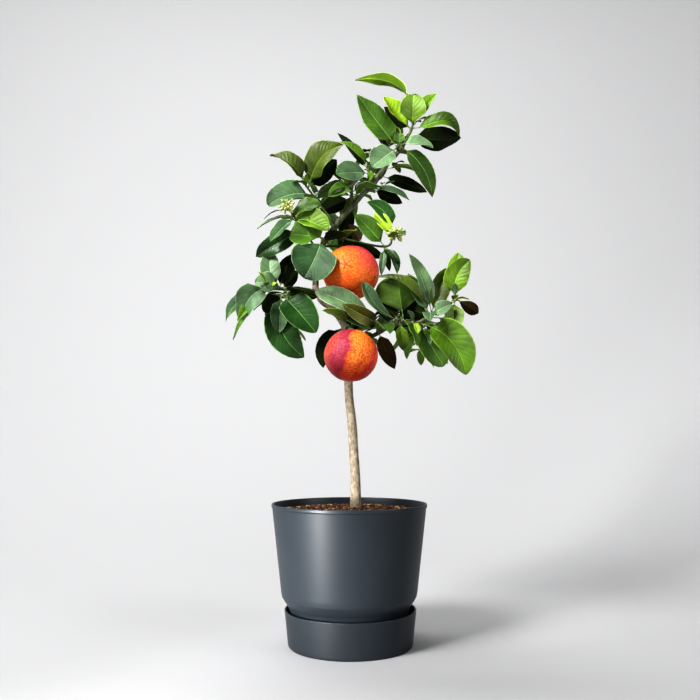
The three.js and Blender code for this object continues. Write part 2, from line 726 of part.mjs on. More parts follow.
function potInside(clearance) {
  const wall = POT_WALL + clearance;
  return [
    [POT_FOOT_RADIUS - wall, SAUCER_FLOOR + GAP + wall],
    [NECK_RADIUS - wall, NECK_HEIGHT],
    [SHOULDER_RADIUS - wall, SHOULDER_HEIGHT],
    [POT_RIM_RADIUS - LIP_OVERHANG - wall, POT_RIM_HEIGHT - LIP_HEIGHT],
  ];
}

function potGeometry() {
  const inside = potInside(0).reverse();
  const geometry = lathe([
    [0, SAUCER_FLOOR + GAP],
    ...POT_OUTSIDE,
    [POT_RIM_RADIUS, POT_RIM_HEIGHT - LIP_HEIGHT + LIP_FLARE],
    [POT_RIM_RADIUS, POT_RIM_HEIGHT - RIM_ROUNDING],
    [POT_RIM_RADIUS - RIM_ROUNDING, POT_RIM_HEIGHT],
    [POT_RIM_RADIUS - POT_WALL + EDGE_BEVEL, POT_RIM_HEIGHT],
    ...inside,
    [0, inside[inside.length - 1][1]],
  ]);
  geometry.translate(POT_OFFSET_X, 0, 0);
  return geometry;
}

// The soil fills the pot to a little below its rim.
function soilGeometry() {
  const inside = potInside(GAP);
  const low = inside[inside.length - 2];
  const high = inside[inside.length - 1];
  const share = (SOIL_EDGE - low[1]) / (high[1] - low[1]);
  const edge = low[0] + (high[0] - low[0]) * share;
  const geometry = lathe([
    [0, inside[0][1]],
    ...inside.slice(0, -1),
    [edge, SOIL_EDGE],
    [SOIL_MOUND_RADIUS, SOIL_MIDDLE],
    [0, SOIL_MIDDLE],
  ]);
  geometry.translate(POT_OFFSET_X, 0, 0);
  return geometry;
}

function addPart(group, name, geometry, colour) {
  const material = new THREE.MeshStandardMaterial({ color: colour, roughness: 0.7 });
  const mesh = new THREE.Mesh(geometry, material);
  mesh.name = name;
  group.add(mesh);
}

// Each limb is cut clear of the ones before it.
function addLimbs(group) {
  let skins = [];
  Object.keys(LIMBS).forEach((name) => {
    let solid = toSolid(limbGeometry(name));
    if (skins.length > 0) {
      solid = mainBody(solid.subtract(wasm.Manifold.union(skins)));
    }
    skins = [...skins, toSolid(limbGeometry(name, GAP))];
    const colour = name === 'trunk' ? COLOURS.bark : COLOURS.young_bark;
    addPart(group, name, toGeometry(solid), colour);
  });
  return skins;
}

// One mass: its stem, leaves, buds and fruit fused.
function massSolid(mass, grown, swell) {
  const { points, leaves } = grown;
  const steps = points.length - 1;
  const stations = points.map((point, i) => [
    ...point,
    STEM_RADIUS + (STEM_TIP_RADIUS - STEM_RADIUS) * (i / steps),
  ]);
  const pieces = [rod(stations, STEM_SIDES, swell)];
  leaves.forEach((leaf) => pieces.push(leafGeometry(leaf, swell)));
  if (mass.fruit) {
    pieces.push(fruitGeometry(fruitCentre(points, mass.fruit), mass.fruit + swell));
  }
  if (mass.buds) {
    pieces.push(...budGeometries(mass, points, swell));
  }
  return joined(pieces);
}

// Each mass keeps to its own space: what is taken already is cut away.
function addMasses(group, limbSkins) {
  let taken = wasm.Manifold.union(limbSkins);
  const grown = growLeaves();
  Object.entries(MASSES).forEach(([name, mass]) => {
    const solid = mainBody(massSolid(mass, grown[name], 0).subtract(taken));
    taken = taken.add(massSolid(mass, grown[name], GAP));
    addPart(group, `foliage_${name}`, toGeometry(solid), COLOURS.foliage);
  });
}

const tree = new THREE.Group();
tree.name = 'potted_orange_tree';
addPart(tree, 'saucer', saucerGeometry(), COLOURS.saucer);
addPart(tree, 'pot', potGeometry(), COLOURS.pot);
addPart(tree, 'soil', soilGeometry(), COLOURS.soil);
addMasses(tree, addLimbs(tree));

export default tree;
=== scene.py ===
import math

import bpy
import numpy as np
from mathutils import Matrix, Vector, noise
from numpy.linalg import norm


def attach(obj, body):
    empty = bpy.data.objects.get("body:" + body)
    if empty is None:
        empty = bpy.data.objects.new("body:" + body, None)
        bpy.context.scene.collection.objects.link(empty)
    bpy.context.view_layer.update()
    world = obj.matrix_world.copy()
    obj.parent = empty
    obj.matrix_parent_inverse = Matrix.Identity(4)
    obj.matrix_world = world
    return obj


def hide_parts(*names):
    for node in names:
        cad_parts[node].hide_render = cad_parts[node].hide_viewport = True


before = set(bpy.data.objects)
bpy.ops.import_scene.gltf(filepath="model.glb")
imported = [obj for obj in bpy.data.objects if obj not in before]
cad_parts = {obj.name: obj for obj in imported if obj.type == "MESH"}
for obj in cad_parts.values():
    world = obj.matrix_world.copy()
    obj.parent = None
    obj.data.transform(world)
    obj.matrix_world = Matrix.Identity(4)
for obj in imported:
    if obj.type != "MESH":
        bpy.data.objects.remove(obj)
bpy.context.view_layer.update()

MM = 0.001

# Saucer.
SAUCER_HEIGHT = 56.4
SAUCER_RIM_RADIUS = 105.8
SAUCER_FOOT_RADIUS = 97
SAUCER_WALL = 3
SAUCER_FLOOR = 3
FOOT_ROUNDING = 3
FOOT_FLAT_SHARE = 0.6

# Pot. The slopes under the shoulder and the neck are how far in and how far down from its
# corner, and the lip's is a height. GAP is the air between the pot and the saucer's floor.
POT_RIM_HEIGHT = 222.6
POT_RIM_RADIUS = 126.5
POT_WALL = 3.2
POT_OFFSET_X = -1.8
SHOULDER_HEIGHT = 84
SHOULDER_RADIUS = 109.6
SHOULDER_SLOPES = ((4.5, 12), (1.4, 7))
NECK_HEIGHT = 62
NECK_RADIUS = 98.6
NECK_SLOPE = (3, 8)
POT_FOOT_RADIUS = 86
LIP_HEIGHT = 6
LIP_OVERHANG = 1.2
LIP_SLOPE = 0.8
GAP = 0.3
ROUND_SEGMENTS = 160

# Rounding of corners: the most, in how many steps, its share of the shorter side, and how
# far beyond it a point keeps the side flat.
EDGE_RADIUS = 1.2
EDGE_STEPS = 3
EDGE_SHARE = 0.3
EDGE_SUPPORT = 1.5

# The mix: a low mound, its lumps with their fineness, height and slice of the noise, and
# the chips of bark on it. A chip's stretch in length, width and thickness is the least,
# how much more, and how rare the long ones are. Unevenness and lift are least and more.
SOIL_MIDDLE = 214
SOIL_EDGE = 208.6
SOIL_DEPTH = 12
SOIL_MOUND_RADIUS = 46
SOIL_RINGS = 46
SOIL_SIDES = 150
SOIL_INNERMOST = 0.5
SOIL_BEYOND_CHIPS = 0.8
SOIL_LUMPS = ((0.11, 1.1, 0), (0.3, 0.8, 5))
CHIP_COUNT = 3400
CHIP_FIELD_RADIUS = 119
CHIP_SMALLEST = 1.3
CHIP_LARGER = 2.6
CHIP_RARITY = 2.2
CHIP_STRETCH = ((0.8, 1.1, 2), (0.7, 0.4, 1), (0.4, 0.5, 1))
CHIP_UNEVENNESS = (0.8, 0.4)
CHIP_LIFT = (0.5, 0.6)
CHIP_STRAY = 0.5
CHIP_TILT = 0.9
CHIP_SEED = 77
RED_CHIPS = 0.48
RED_OR_DARK_CHIPS = 0.9
CHIP_CORNERS = np.array([
    [0, 0, 1], [0.9, 0, 0.35], [0.25, 0.85, 0.4], [-0.75, 0.5, 0.3],
    [-0.7, -0.55, 0.4], [0.3, -0.85, 0.3], [0, 0, -1],
])
CHIP_FACES = [[0, k, k % 5 + 1] for k in range(1, 6)] + [[6, k % 5 + 1, k] for k in range(1, 6)]

# The plant's own rules.
STEM_RADIUS = 2.1
STEM_TIP_RADIUS = 1.5
PETIOLE_SHARE = 0.14
PETIOLE_RADIUS = 1.2
# A plain leaf's fold, ease, twist and sway.
PLAIN_SHAPE = (20, 0.85, 0, 0)
BLUNTEST = 0.55
SHARPEST = 0.95
TIP_BALANCE = 1.25
SWAY_SCALE = 10.4
GOLDEN_ANGLE = 2.39996
LEAF_CLEARANCE = 5
LIMB_CLEARANCE = 3
SAMPLES_PER_STEP = 6
PETIOLE_SAMPLES = (0.1, 0.2)
BLADE_SAMPLES = (0.25, 0.45, 0.65, 0.85, 1)
SIDE_SAMPLE = 0.8
FRUIT_SINK = 1.5
FRUIT_SAMPLES = 12
RULE = {
    "first": 0.45, "shortest": 54, "longer": 30, "width": 0.42, "wider": 0.1,
    "open": 0.75, "opener": 0.5, "droop": 0.12, "tilt": 0.45, "rise": 0.06, "riser": 0.1,
    "stray": 0.6,
}
RULE_TINTS = ("dark", "mid", "mid", "dark", "blue", "mid")

# Finer twigs that spring from each stem, with a small leaf of each of three tints.
TWIGLETS = 3
TWIGLET_SEEDS = 500
BACK_TWIGLETS = 8
BACK_TWIGLET_SIZE = 1.5
BACK_LEAVES = 11
TWIGLET = {
    "first": 0.3, "span": 0.65, "shortest": 16, "longer": 14, "along": 0.6, "up": 0.35,
    "sag": 1.5, "leaf": 16, "larger": 11, "width": 0.42, "tilt": 0.01, "rise": 0.08,
    "leaf_at": 0.55, "leaf_step": 0.2, "clearance": 4,
}
TWIGLET_TINTS = ("mid", "lime", "blue")
TWIGLET_RADIUS = 0.85
TWIGLET_TIP_RADIUS = 0.5
TWIGLET_RINGS = 9
TWIGLET_SIDES = 8

# Limbs, each a run of points x, y, z with the limb's radius there.
LIMBS = {
    "trunk": [
        [8.5, 0, 214.9, 9.6], [8.2, 0, 262, 7.9], [5.5, 0, 305, 7.8], [2.5, 0, 354, 7.6],
        [-2, 0, 392, 7.2], [-3.5, 0, 430, 7.1], [-5.5, 0, 474, 6.9], [-9, 0, 515, 6.6],
    ],
    "leader_low": [
        [-8, 0, 512, 5.7], [-27, 1, 541, 5.5], [-49, 4, 559, 5.4], [-60, 6, 584, 5.3],
    ],
    "leader_mid": [
        [-59, 6, 580, 5.2], [-57, 6, 627, 5.1], [-41, 4, 665, 5], [-14, 2, 702, 4.9],
    ],
    "leader_top": [
        [-16, 2, 699, 4.7], [27, 0, 749, 4.3], [59, -2, 788, 3.4], [87, -4, 820, 2.9],
        [104, -5, 852, 2.4],
    ],
    "right_bough": [
        [-4, -1, 480, 4.2], [41, -8, 499, 3.6], [80, -18, 519, 3.2], [106, -22, 516, 2.9],
        [130, -28, 526, 2.5],
    ],
    "left_bough": [[-58, 5, 574, 3.5], [-90, -4, 578, 3], [-112, -12, 575, 2.4]],
    "back_bough": [[-46, 4, 557, 3.6], [-34, 42, 580, 3.1], [-18, 78, 606, 2.4]],
}
# Limbs with green young bark.
YOUNG_LIMBS = ("leader_mid", "leader_top", "right_bough", "left_bough", "back_bough")


def mass(limb, at, stem, leaves, seed, reach, rows=(), fruit=0, finer=None):
    """A mass of foliage: its stem springs from a place on a limb and goes on by steps. It
    has rows for leaves that stand out. Up to so many leaves grow by the rule, within reach
    of the stem's end. finer is the count, seed and size of its finer twigs."""
    return {
        "limb": limb, "at": at, "stem": stem, "leaves": leaves, "seed": seed, "reach": reach,
        "rows": rows, "fruit": fruit, "finer": finer or (TWIGLETS, seed + TWIGLET_SEEDS, 1),
    }


def back_mass(limb, at, stem, seed, reach, twigs):
    """A mass that grows by the rule alone, with more and larger finer twigs."""
    finer = (BACK_TWIGLETS, twigs, BACK_TWIGLET_SIZE)
    return mass(limb, at, stem, BACK_LEAVES, seed, reach, finer=finer)


# A row is one leaf: its place on the stem, reach in x, y and z, width, how its face leans
# to -Y in degrees, rise and bow of its midrib, and tint. Then come its fold in degrees,
# the ease of its outline, its twist in degrees and its sway, where they aren't plain.
MASSES = {
    "top_tuft": mass("leader_top", 4, [[5, -2, 16]], leaves=0, seed=15, reach=62, rows=[
        [0.6, -99, 4, 83, 33, 60, 0.05, 0.34, "lime", 14, 0.65, 140],
        [0.2, -49, -12, 52, 38, 60, -0.06, 0, "lime", 34],
        [0.3, 1, -14, 54, 49, 76, 0.06, 0, "fresh", 24],
        [0.8, 40, -6, 50, 30, 66, 0.04, 0, "fresh", 34, 0.85, -20],
        [0.3, 81, 6, -12, 30, 62, 0.28, 0, "olive", 20, 0.85, 20, 0.1],
        [0.1, -46, 16, 48, 26, -60, 0.04, 0, "dark"],
    ]),
    "top_fan": mass("leader_top", 2.88, [[-4, -9, 3], [18, 2, 24]], leaves=0, seed=5, reach=60, rows=[
        [1.9, 94, 20, 6, 44, -50, -0.18, 0, "dark", 14],
        [1.3, 56, -6, -9, 32, 70, 0.1, 0, "pale", 30, 0.85, -30],
        [1.25, -1, -4, 20, 20, 70, 0.04, 0, "mid"],
        [1, -69, -6, 92, 48, 66, -0.02, 0, "mid", 12, 0.62],
        [1, -44, -12, -38, 46, 76, 0.02, 0, "pale", 22, 1.1],
        [1.2, 58, 20, -84, 34, -62, 0, 0.13, "gloss", -24],
    ]),
    "upper_right": mass("leader_top", 1.18, [[4, 12, -2], [22, 4, 36]], leaves=5, seed=111, reach=70, rows=[
        [2, 71, -6, -19, 24, 22, 0.14, 0, "olive", 30],
        [1.7, 80, 0, -29, 24, -56, 0.1, 0, "dark"],
        [1, 63, -10, -23, 22, 48, 0.08, 0, "blue", 34],
        [1, 52, 4, -24, 24, -60, -0.05, 0, "dark"],
    ]),
    "upper_left": mass("leader_top", 1.07, [[2, -10, 34]], leaves=0, seed=178, reach=70, rows=[
        [1, -49, -8, 41, 22, 50, 0.08, 0, "olive", 34],
        [0.8, -53, 12, 72, 18, -40, 0.06, 0, "dark"],
        [0.7, -55, -24, -9, 42, 76, 0.05, 0, "blue", 20, 1.05],
        [0.4, 10, -14, 4, 18, 75, 0.05, 0, "olive"],
    ]),
    "mid_left": mass("leader_top", 0.3, [[7, -10, 41]], leaves=6, seed=66, reach=70, rows=[
        [0.9, -60, -14, -24, 30, 66, 0.16, 0, "dark"],
        [1, -41, -24, -28, 26, 76, 0.06, 0, "mid"],
        [0.5, -51, 12, -21, 34, -56, 0.04, 0, "dark"],
    ]),
    "left_pair": mass("leader_mid", 2.61, [[-52, 4, 72]], leaves=0, seed=54, reach=70, rows=[
        [1, -61, -6, 50, 40, 58, 0.23, 0, "moss", 30, 0.85, 20],
        [0.93, 61, -22, 68, 58, 70, 0.1, -0.12, "moss", 26, 0.85, -20, 0.04],
        [0.93, 50, 14, 55, 36, -58, 0, 0, "dark"],
        [0.75, -75, -18, -23, 54, 62, 0.16, 0, "blue", 22, 1],
    ]),
    "left_buds": mass("leader_mid", 1.33, [[-46, -34, 63]], leaves=5, seed=31, reach=70, rows=[
        [1, 51, -10, 9, 32, 64, 0.08, 0, "mid", 20],
        [0.85, 57, -28, -29, 46, 66, 0.06, 0, "fresh", 30],
        [1, -44, 0, -13, 8, 17, 0.16, 0, "dark"],
        [0.9, -61, 0, -23, 14, 24, 0.08, 0, "blue"],
        [0.85, -40, -12, -44, 26, 56, 0.06, 0, "blue", 30],
        [0.55, -81, 10, -42, 38, 96, 0.14, 0, "gloss", 26],
    ]),
    "big_leaf": mass("leader_mid", 1.55, [[3, -46, 6]], leaves=4, seed=31, reach=80, rows=[
        [1, -29, -6, -68, 78, 84, 0.05, -0.05, "jade", 14, 0.95],
        [1, -53, 6, 8, 50, 78, 0.05, 0, "mid", 24, 1],
        [0.9, -19, -4, 19, 30, 74, 0.05, 0, "mid"],
    ]),
    "right_buds": mass("leader_mid", 2.17, [[94, -20, -25], [13, -6, 24]], leaves=6, seed=7, reach=70, rows=[
        [2, -42, 4, 52, 30, 66, 0.04, 0.16, "gloss", 20],
        [0.55, -24, 14, 36, 22, -56, 0.04, 0, "brown"],
        [1, -49, -14, 50, 38, 74, 0.06, 0, "mid", 24],
        [1.7, -29, 2, 42, 26, 60, 0.08, 0, "lime", 24],
        [1, 20, -8, -48, 16, 66, 0.08, -0.12, "gloss", 26],
        [1, 9, 10, -40, 12, -40, 0.02, 0, "dark"],
        [1, -6, -6, -50, 13, 66, 0.03, 0, "blue"],
        [0.97, 25, -16, -30, 10, 70, 0.06, 0.1, "dark"],
        [0.2, 20, 14, 49, 30, -60, 0.04, 0, "dark"],
    ]),
    "fruit_upper": mass("leader_mid", 1.64, [[49, -16, -3]], leaves=5, seed=88, reach=90, fruit=47, rows=[
        [0.5, 38, 18, 14, 28, -50, 0.05, 0, "dark"],
        [0.7, 71, 14, -16, 26, -60, 0.06, 0, "dark"],
    ]),
    "left_low": mass("left_bough", 2, [[-24, -6, -2]], leaves=0, seed=95, reach=70, rows=[
        [0.3, -13, 8, 67, 36, 76, 0.04, -0.12, "pale", 16],
        [0.1, -43, -14, 9, 42, 66, 0.14, 0, "pale", 20, 1.1],
        [0.95, -45, -16, -50, 48, 70, 0.42, 0, "blue", 22],
        [0.9, -74, 8, -52, 24, 66, 0.3, 0, "blue"],
        [1, -46, -34, -58, 22, 60, 0.1, 0, "olive", 34],
        [1, -57, -2, -84, 12, 40, 0.1, 0, "mid"],
        [0.3, 20, 14, 63, 32, -60, 0.02, 0, "dark"],
        [1, 14, -8, 10, 10, 50, 0.1, 0, "lime"],
        [0.1, 26, 16, 34, 26, -60, 0.04, 0, "dark"],
    ]),
    "left_drop": mass("left_bough", 1.48, [[-12, -20, -14]], leaves=5, seed=85, reach=80, rows=[
        [1, 58, -26, -67, 56, 76, 0.08, 0, "gloss", 22],
        [1, 38, -4, -104, 54, 72, 0.02, 0.18, "gloss", 8],
        [1, -3, -8, -65, 32, 72, 0.05, 0, "blue"],
        [0.9, -32, 14, -28, 34, -60, 0.05, 0, "dark"],
        [1, 58, 12, -2, 28, 66, 0.08, 0, "dark"],
    ]),
    "centre_low": mass("right_bough", 1.07, [[2, -26, 14]], leaves=5, seed=107, reach=70, rows=[
        [1, -102, -10, 51, 42, 66, 0.09, 0, "pale", 18, 1.4],
        [0.95, -59, -30, 27, 30, 100, 0.22, 0, "bronze", 30],
        [0.8, -56, -10, 12, 28, 72, 0.04, 0, "blue"],
        [0.7, -26, 8, 14, 20, -66, 0.04, 0, "dark"],
        [0.35, 29, 14, -63, 28, -66, -0.12, 0, "brown"],
    ]),
    "fruit_lower": mass(
        "trunk", 6.78, [[4, -30, 6], [5, -26, -11]], leaves=4, seed=29, reach=80, fruit=43,
        rows=[[0.4, -38, 2, -66, 32, -66, 0, -0.2, "dark"]],
    ),
    "right_mid": mass("right_bough", 1.94, [[2, -10, 2], [6, -4, 4]], leaves=5, seed=69, reach=70, rows=[
        [2, -9, -14, 66, 86, -80, 0.06, 0, "mid", 24, 1.15],
        [1, -60, -22, 61, 26, 64, 0.06, -0.18, "blue", 30, 1.7],
        [1, -40, 32, 43, 44, -60, 0.04, 0, "dark"],
        [1, 8, 14, -49, 22, 70, 0.06, 0, "fresh"],
        [1, 38, 20, 29, 36, -60, 0.04, 0, "dark"],
    ]),
    "right_tall": mass("right_bough", 3.74, [[9, -8, 6]], leaves=5, seed=13, reach=80, rows=[
        [1, -38, -18, 96, 30, 56, -0.06, 0.08, "pale", 34],
        [0.8, 30, 16, 82, 38, 100, 0.04, 0, "moss", 30],
        [0.7, -34, 14, 73, 26, 70, 0.04, 0, "blue"],
        [0.65, -91, -3, 64, 24, 44, 0.24, 0, "moss", 30],
        [1, 31, -14, 15, 26, 70, 0.06, 0, "pale"],
        [0.6, -45, 21, 18, 42, -60, 0.04, 0, "dark"],
    ]),
    "right_tip": mass("right_bough", 4, [[44, -2, 28]], leaves=0, seed=63, reach=70, rows=[
        [0.97, 7, 14, 82, 40, 72, 0.04, 0, "fresh"],
        [0.97, 22, -16, 64, 44, 74, 0.04, -0.16, "fresh", 24],
        [1, 37, 10, -21, 23, -66, 0.04, 0, "brown", 20, 1.6],
        [0.95, -2, -12, -52, 34, 70, 0.04, 0.05, "fresh"],
    ]),
    "right_low": mass("right_bough", 3.16, [[6, -14, -4]], leaves=0, seed=98, reach=70, rows=[
        [1, 67, -24, -85, 60, 70, 0.12, -0.12, "olive", 20],
        [0.4, 41, 6, -70, 52, 74, 0.04, 0.03, "mid", 24],
    ]),
    "back_middle": back_mass("back_bough", 2, [[6, 22, 18], [6, 20, 20]], seed=106, reach=90, twigs=27),
    "back_right": back_mass("right_bough", 1.5, [[18, 50, 20], [14, 36, 20]], seed=113, reach=86, twigs=35),
    "back_left": back_mass("left_bough", 1, [[-8, 46, -12], [-4, 32, -10]], seed=101, reach=86, twigs=31),
    "back_upper": back_mass("leader_mid", 2.9, [[-24, 50, 30], [-22, 32, 30]], seed=125, reach=86, twigs=17),
    "back_high": back_mass("leader_top", 0.6, [[-6, 50, 22], [-2, 32, 20]], seed=102, reach=84, twigs=33),
    "back_top": back_mass("leader_top", 2.4, [[-8, 42, 20], [-6, 28, 20]], seed=66, reach=80, twigs=26),
    "back_low": back_mass("right_bough", 3.48, [[4, 46, -6], [2, 34, -8]], seed=18, reach=80, twigs=18),
    "back_trunk": back_mass("trunk", 6.5, [[6, 48, 8], [4, 34, 2]], seed=131, reach=84, twigs=54),
}

# The fine leaf in its full size: lateral veins every few millimetres, sunk between pleats.
# A pleat's rows are how far towards the next vein, and the share of the pleat's height.
# Wave shares, beats and curls are ranges to draw from.
FULL_LEAF = 60
BLADE_THICKNESS = 0.5
THINNEST_SHARE = 0.6
NARROWEST = 0.3
VEIN_SPACING = 8.5
FEWEST_VEINS = 5
VEINS_FROM = 0.05
VEINS_SPAN = 0.89
VEIN_STRAY = 0.45
VEIN_STRIP = 0.36
VEIN_SWEEP = 0.85
PLEAT_ROWS = ((0.36, 1.0), (0.68, 0.9))
LAST_ROW = 0.985
BOLD_PLEAT = 0.75
SLIGHT_PLEAT = 0.36
PLEAT_ROUNDNESS = 0.8
BOLDLY_PLEATED = ("lime", "fresh", "olive", "moss", "bronze")
RIB_STRIP = 0.62
RIB_TAPER = 0.55
RIB_WIDEST = 0.3
RIB_DEPTH = 0.45
RIB_GROOVE = 0.12
EDGE_WAVE = 0.035
WAVE_SHARES = (0.6, 1.4)
WAVE_BEATS = (1.2, 2.6)
WAVE_LAG = 0.9
EDGE_CURLS = (-0.18, 0.12)
EDGE_SCALLOP = 0.012
COLUMNS = (0.20, 0.40, 0.60, 0.80, 0.955, 1)
LEAF_SEEDS = 101

# The leaf's stalk, which runs on under the blade's foot.
FULL_STALK_LEAF = 55
STALK_RINGS = 7
STALK_SIDES = 8
STALK_RUNS_ON = 0.05
STALK_SINK = 0.2
STALK_SWELLING = 0.35
STALK_MEAN = 0.8
STALK_TIP = 0.6

# Wood: the start of a tube's sides, how far its ends bulge in radii, rings and sides of
# stems and limbs, and the relief of bark as fineness along x, y and z, shift and height.
SIDE_HINT = (0.3, 1, 0.1)
FOOT_BULGE = 0.2
TIP_BULGE = 0.4
STEM_RINGS = 10
STEM_SIDES = 12
NODE_SWELLING = 0.35
NODE_LENGTH = 2.5
TRUNK_SIDES = 40
LIMB_SIDES = 28
FEWEST_RINGS = 4
RING_SPACING = 1.8
BARK_RELIEF = (
    ((0.9, 0.9, 0.22), (0, 0, 0), 0.16),
    ((0.12, 0.12, 0.06), (7, 3, 1), 0.38),
)
# Scars on the trunk: height, turn about the trunk from the front, half height, half turn
# and swelling.
SCARS = (
    (362, -0.15, 9, 0.75, 0.7),
    (300, 0.5, 5, 0.5, 0.5),
    (326, -0.9, 3, 0.35, 0.4),
    (418, 0.3, 3.5, 0.4, 0.5),
)
SCAR_EDGE = 0.25

# Bud clusters: how many, the longest bud, how far their feet spread, width over length and
# where the cluster's middle is from the stem's end. A bud's outline is places along it and
# shares of its width. Its foot and length vary between shares of the spread and longest.
BUD_CLUSTERS = {
    "left_buds": (30, 8, 11, 0.5, (-5, -16, 3)),
    "right_buds": (22, 10, 11, 0.62, (4, -4, -7)),
    "right_tip": (10, 5.5, 6, 0.5, (0, -4, 0)),
}
BUD_OUTLINE = (
    (0.0, 0.42), (0.08, 0.62), (0.2, 0.82), (0.34, 0.96), (0.5, 1.0),
    (0.68, 0.9), (0.84, 0.62), (0.95, 0.3),
)
BUD_SIDES = 10
BUD_SIDE_HINT = (0.2, 0.5, 1)
CUP_RINGS = 2
BUD_STALK_SIDES = 6
BUD_STALK_RADII = (0.8, 0.6, 0.7)
CLUSTER_STALK_RADII = (1.4, 1.2, 1.0)
CLUSTER_STALK_BEND = 1
CLUSTER_SPAN = 1.7
BUD_FEET = (0.2, 1)
BUD_LENGTHS = (0.6, 1)
BUD_PLUMPER = 0.1

# Fruits: squash, colours from the plain side to the blushed side, speckle, way of the
# blush, how sharply it sets in (the smaller the sharper), how dark the painted shade at
# its foot is and where cracks run out from, in radii.
FRUITS = {
    "fruit_upper": {
        "squash": 0.97,
        "colours": [
            (0.0, (0.92, 0.24, 0.04)), (0.52, (0.97, 0.33, 0.05)), (0.78, (0.93, 0.21, 0.07)),
            (0.90, (0.90, 0.15, 0.13)), (1.0, (0.86, 0.10, 0.13)),
        ],
        "speckle": (0.88, 0.50, 0.46), "way": (0.74, 0.0, 0.67), "sharpness": 0.85,
        "foot": (0.85, 0.6, 0.6), "cracks": (-0.19, -0.97, 0.09),
    },
    "fruit_lower": {
        "squash": 0.985,
        "colours": [
            (0.0, (0.84, 0.16, 0.04)), (0.10, (0.72, 0.07, 0.07)), (0.22, (0.98, 0.28, 0.04)),
            (0.46, (1.0, 0.44, 0.08)), (0.58, (0.92, 0.28, 0.06)), (0.64, (0.43, 0.040, 0.10)),
            (0.82, (0.46, 0.085, 0.14)), (1.0, (0.54, 0.14, 0.09)),
        ],
        "speckle": (0.70, 0.27, 0.28), "way": (-0.95, -0.1, 0.27), "sharpness": 0.90,
        "foot": (0.45, 0.12, 0.12), "cracks": None,
    },
}
FRUIT_RINGS = 72
FRUIT_SIDES = 112
# The peel in radii: unevenness as fineness and height, dimples as depth and spread in
# radians, and the two poles. Then the lobes of the calyx.
PEEL_LUMPS = (1.4, 0.010)
PEEL_RIPPLES = (7, 0.0035)
STALK_DIMPLE = (0.035, 0.22)
FOOT_DIMPLE = (0.02, 0.16)
STALK_POLE = 0.962
FOOT_POLE = 0.978
CALYX_LOBES = 5
CALYX_REACH = 5.5
CALYX_HEIGHT = 0.985
CALYX_TIP_HEIGHT = 0.97
CALYX_RADII = (1.9, 1.6, 0.5)
CALYX_BULGE = 0.5
CALYX_SIDES = 8
# The peel's colours: spans are where one colour ends and the next begins, and those of the
# foot's painted shade and the cracks are in metres.
BLUSH_WANDER = 0.7
MOTTLE_SPAN = (0.42, 0.62)
DUST = (0.92, 0.58, 0.46)
DUST_SPAN = (0.34, 0.56)
FOOT_SHADE_SPAN = (0.032, 0.062)
CRACKS = 5
CRACK_STRAY = 3.2
CRACK_COLOUR = (0.30, 0.09, 0.06)
CRACK_WIDTHS = (0.0007, 0.0022)
CRACK_LENGTHS = (0.006, 0.019)
WHITE = (1, 1, 1)
BLACK = (0, 0, 0)

# The meshes of leaves, with the masses in each.
LEAF_PIECES = {
    "leaves_top": ("top_tuft", "top_fan", "upper_right", "upper_left", "back_top", "back_high"),
    "leaves_left": ("mid_left", "left_pair", "left_buds", "big_leaf", "left_low", "left_drop"),
    "leaves_right": (
        "right_buds", "fruit_upper", "centre_low", "fruit_lower", "right_mid", "right_tall",
        "right_tip", "right_low",
    ),
    "leaves_back": ("back_middle", "back_right", "back_left", "back_upper", "back_low", "back_trunk"),
}

# Colours: upper face, underside and midrib of each kind of leaf. The dark kind is painted
# shade: near-black green on both faces, for leaves deep in the crown's shade. A side vein
# is a little lighter than the face it runs in.
TINTS = {
    "dark": ((0.013, 0.026, 0.004), (0.014, 0.024, 0.005), (0.040, 0.070, 0.014)),
    "gloss": ((0.024, 0.072, 0.015), (0.038, 0.082, 0.011), (0.17, 0.30, 0.08)),
    "moss": ((0.068, 0.100, 0.012), (0.105, 0.140, 0.020), (0.19, 0.27, 0.045)),
    "mid": ((0.070, 0.150, 0.018), (0.110, 0.195, 0.032), (0.24, 0.40, 0.075)),
    # Blue, jade and pale hold a painted bluish-grey sheen over the leaf's own green.
    "blue": ((0.080, 0.150, 0.066), (0.150, 0.220, 0.115), (0.30, 0.43, 0.22)),
    "jade": ((0.052, 0.112, 0.044), (0.100, 0.160, 0.078), (0.24, 0.35, 0.17)),
    "pale": ((0.145, 0.235, 0.115), (0.200, 0.290, 0.155), (0.45, 0.58, 0.36)),
    "lime": ((0.330, 0.500, 0.034), (0.160, 0.280, 0.019), (0.60, 0.76, 0.14)),
    "fresh": ((0.143, 0.250, 0.019), (0.190, 0.320, 0.028), (0.34, 0.52, 0.08)),
    "olive": ((0.090, 0.180, 0.010), (0.140, 0.210, 0.018), (0.25, 0.38, 0.055)),
    "bronze": ((0.085, 0.088, 0.013), (0.085, 0.085, 0.013), (0.32, 0.40, 0.15)),
    "brown": ((0.034, 0.023, 0.006), (0.042, 0.028, 0.009), (0.08, 0.06, 0.024)),
}
SHINE = {"dark": 0.12, "brown": 0.12, "jade": 0.2}
PLAIN_SHINE = 0.36
UNDER_SHINE = 0.8
GLOSSY = 0.34
WAXY = 0.46
RIB_ROUGHNESS = 0.5
UNDER_ROUGHNESS = 0.62
VEIN_SHADE = 1.35
LEAF_SHADES = (0.5, 1.5)

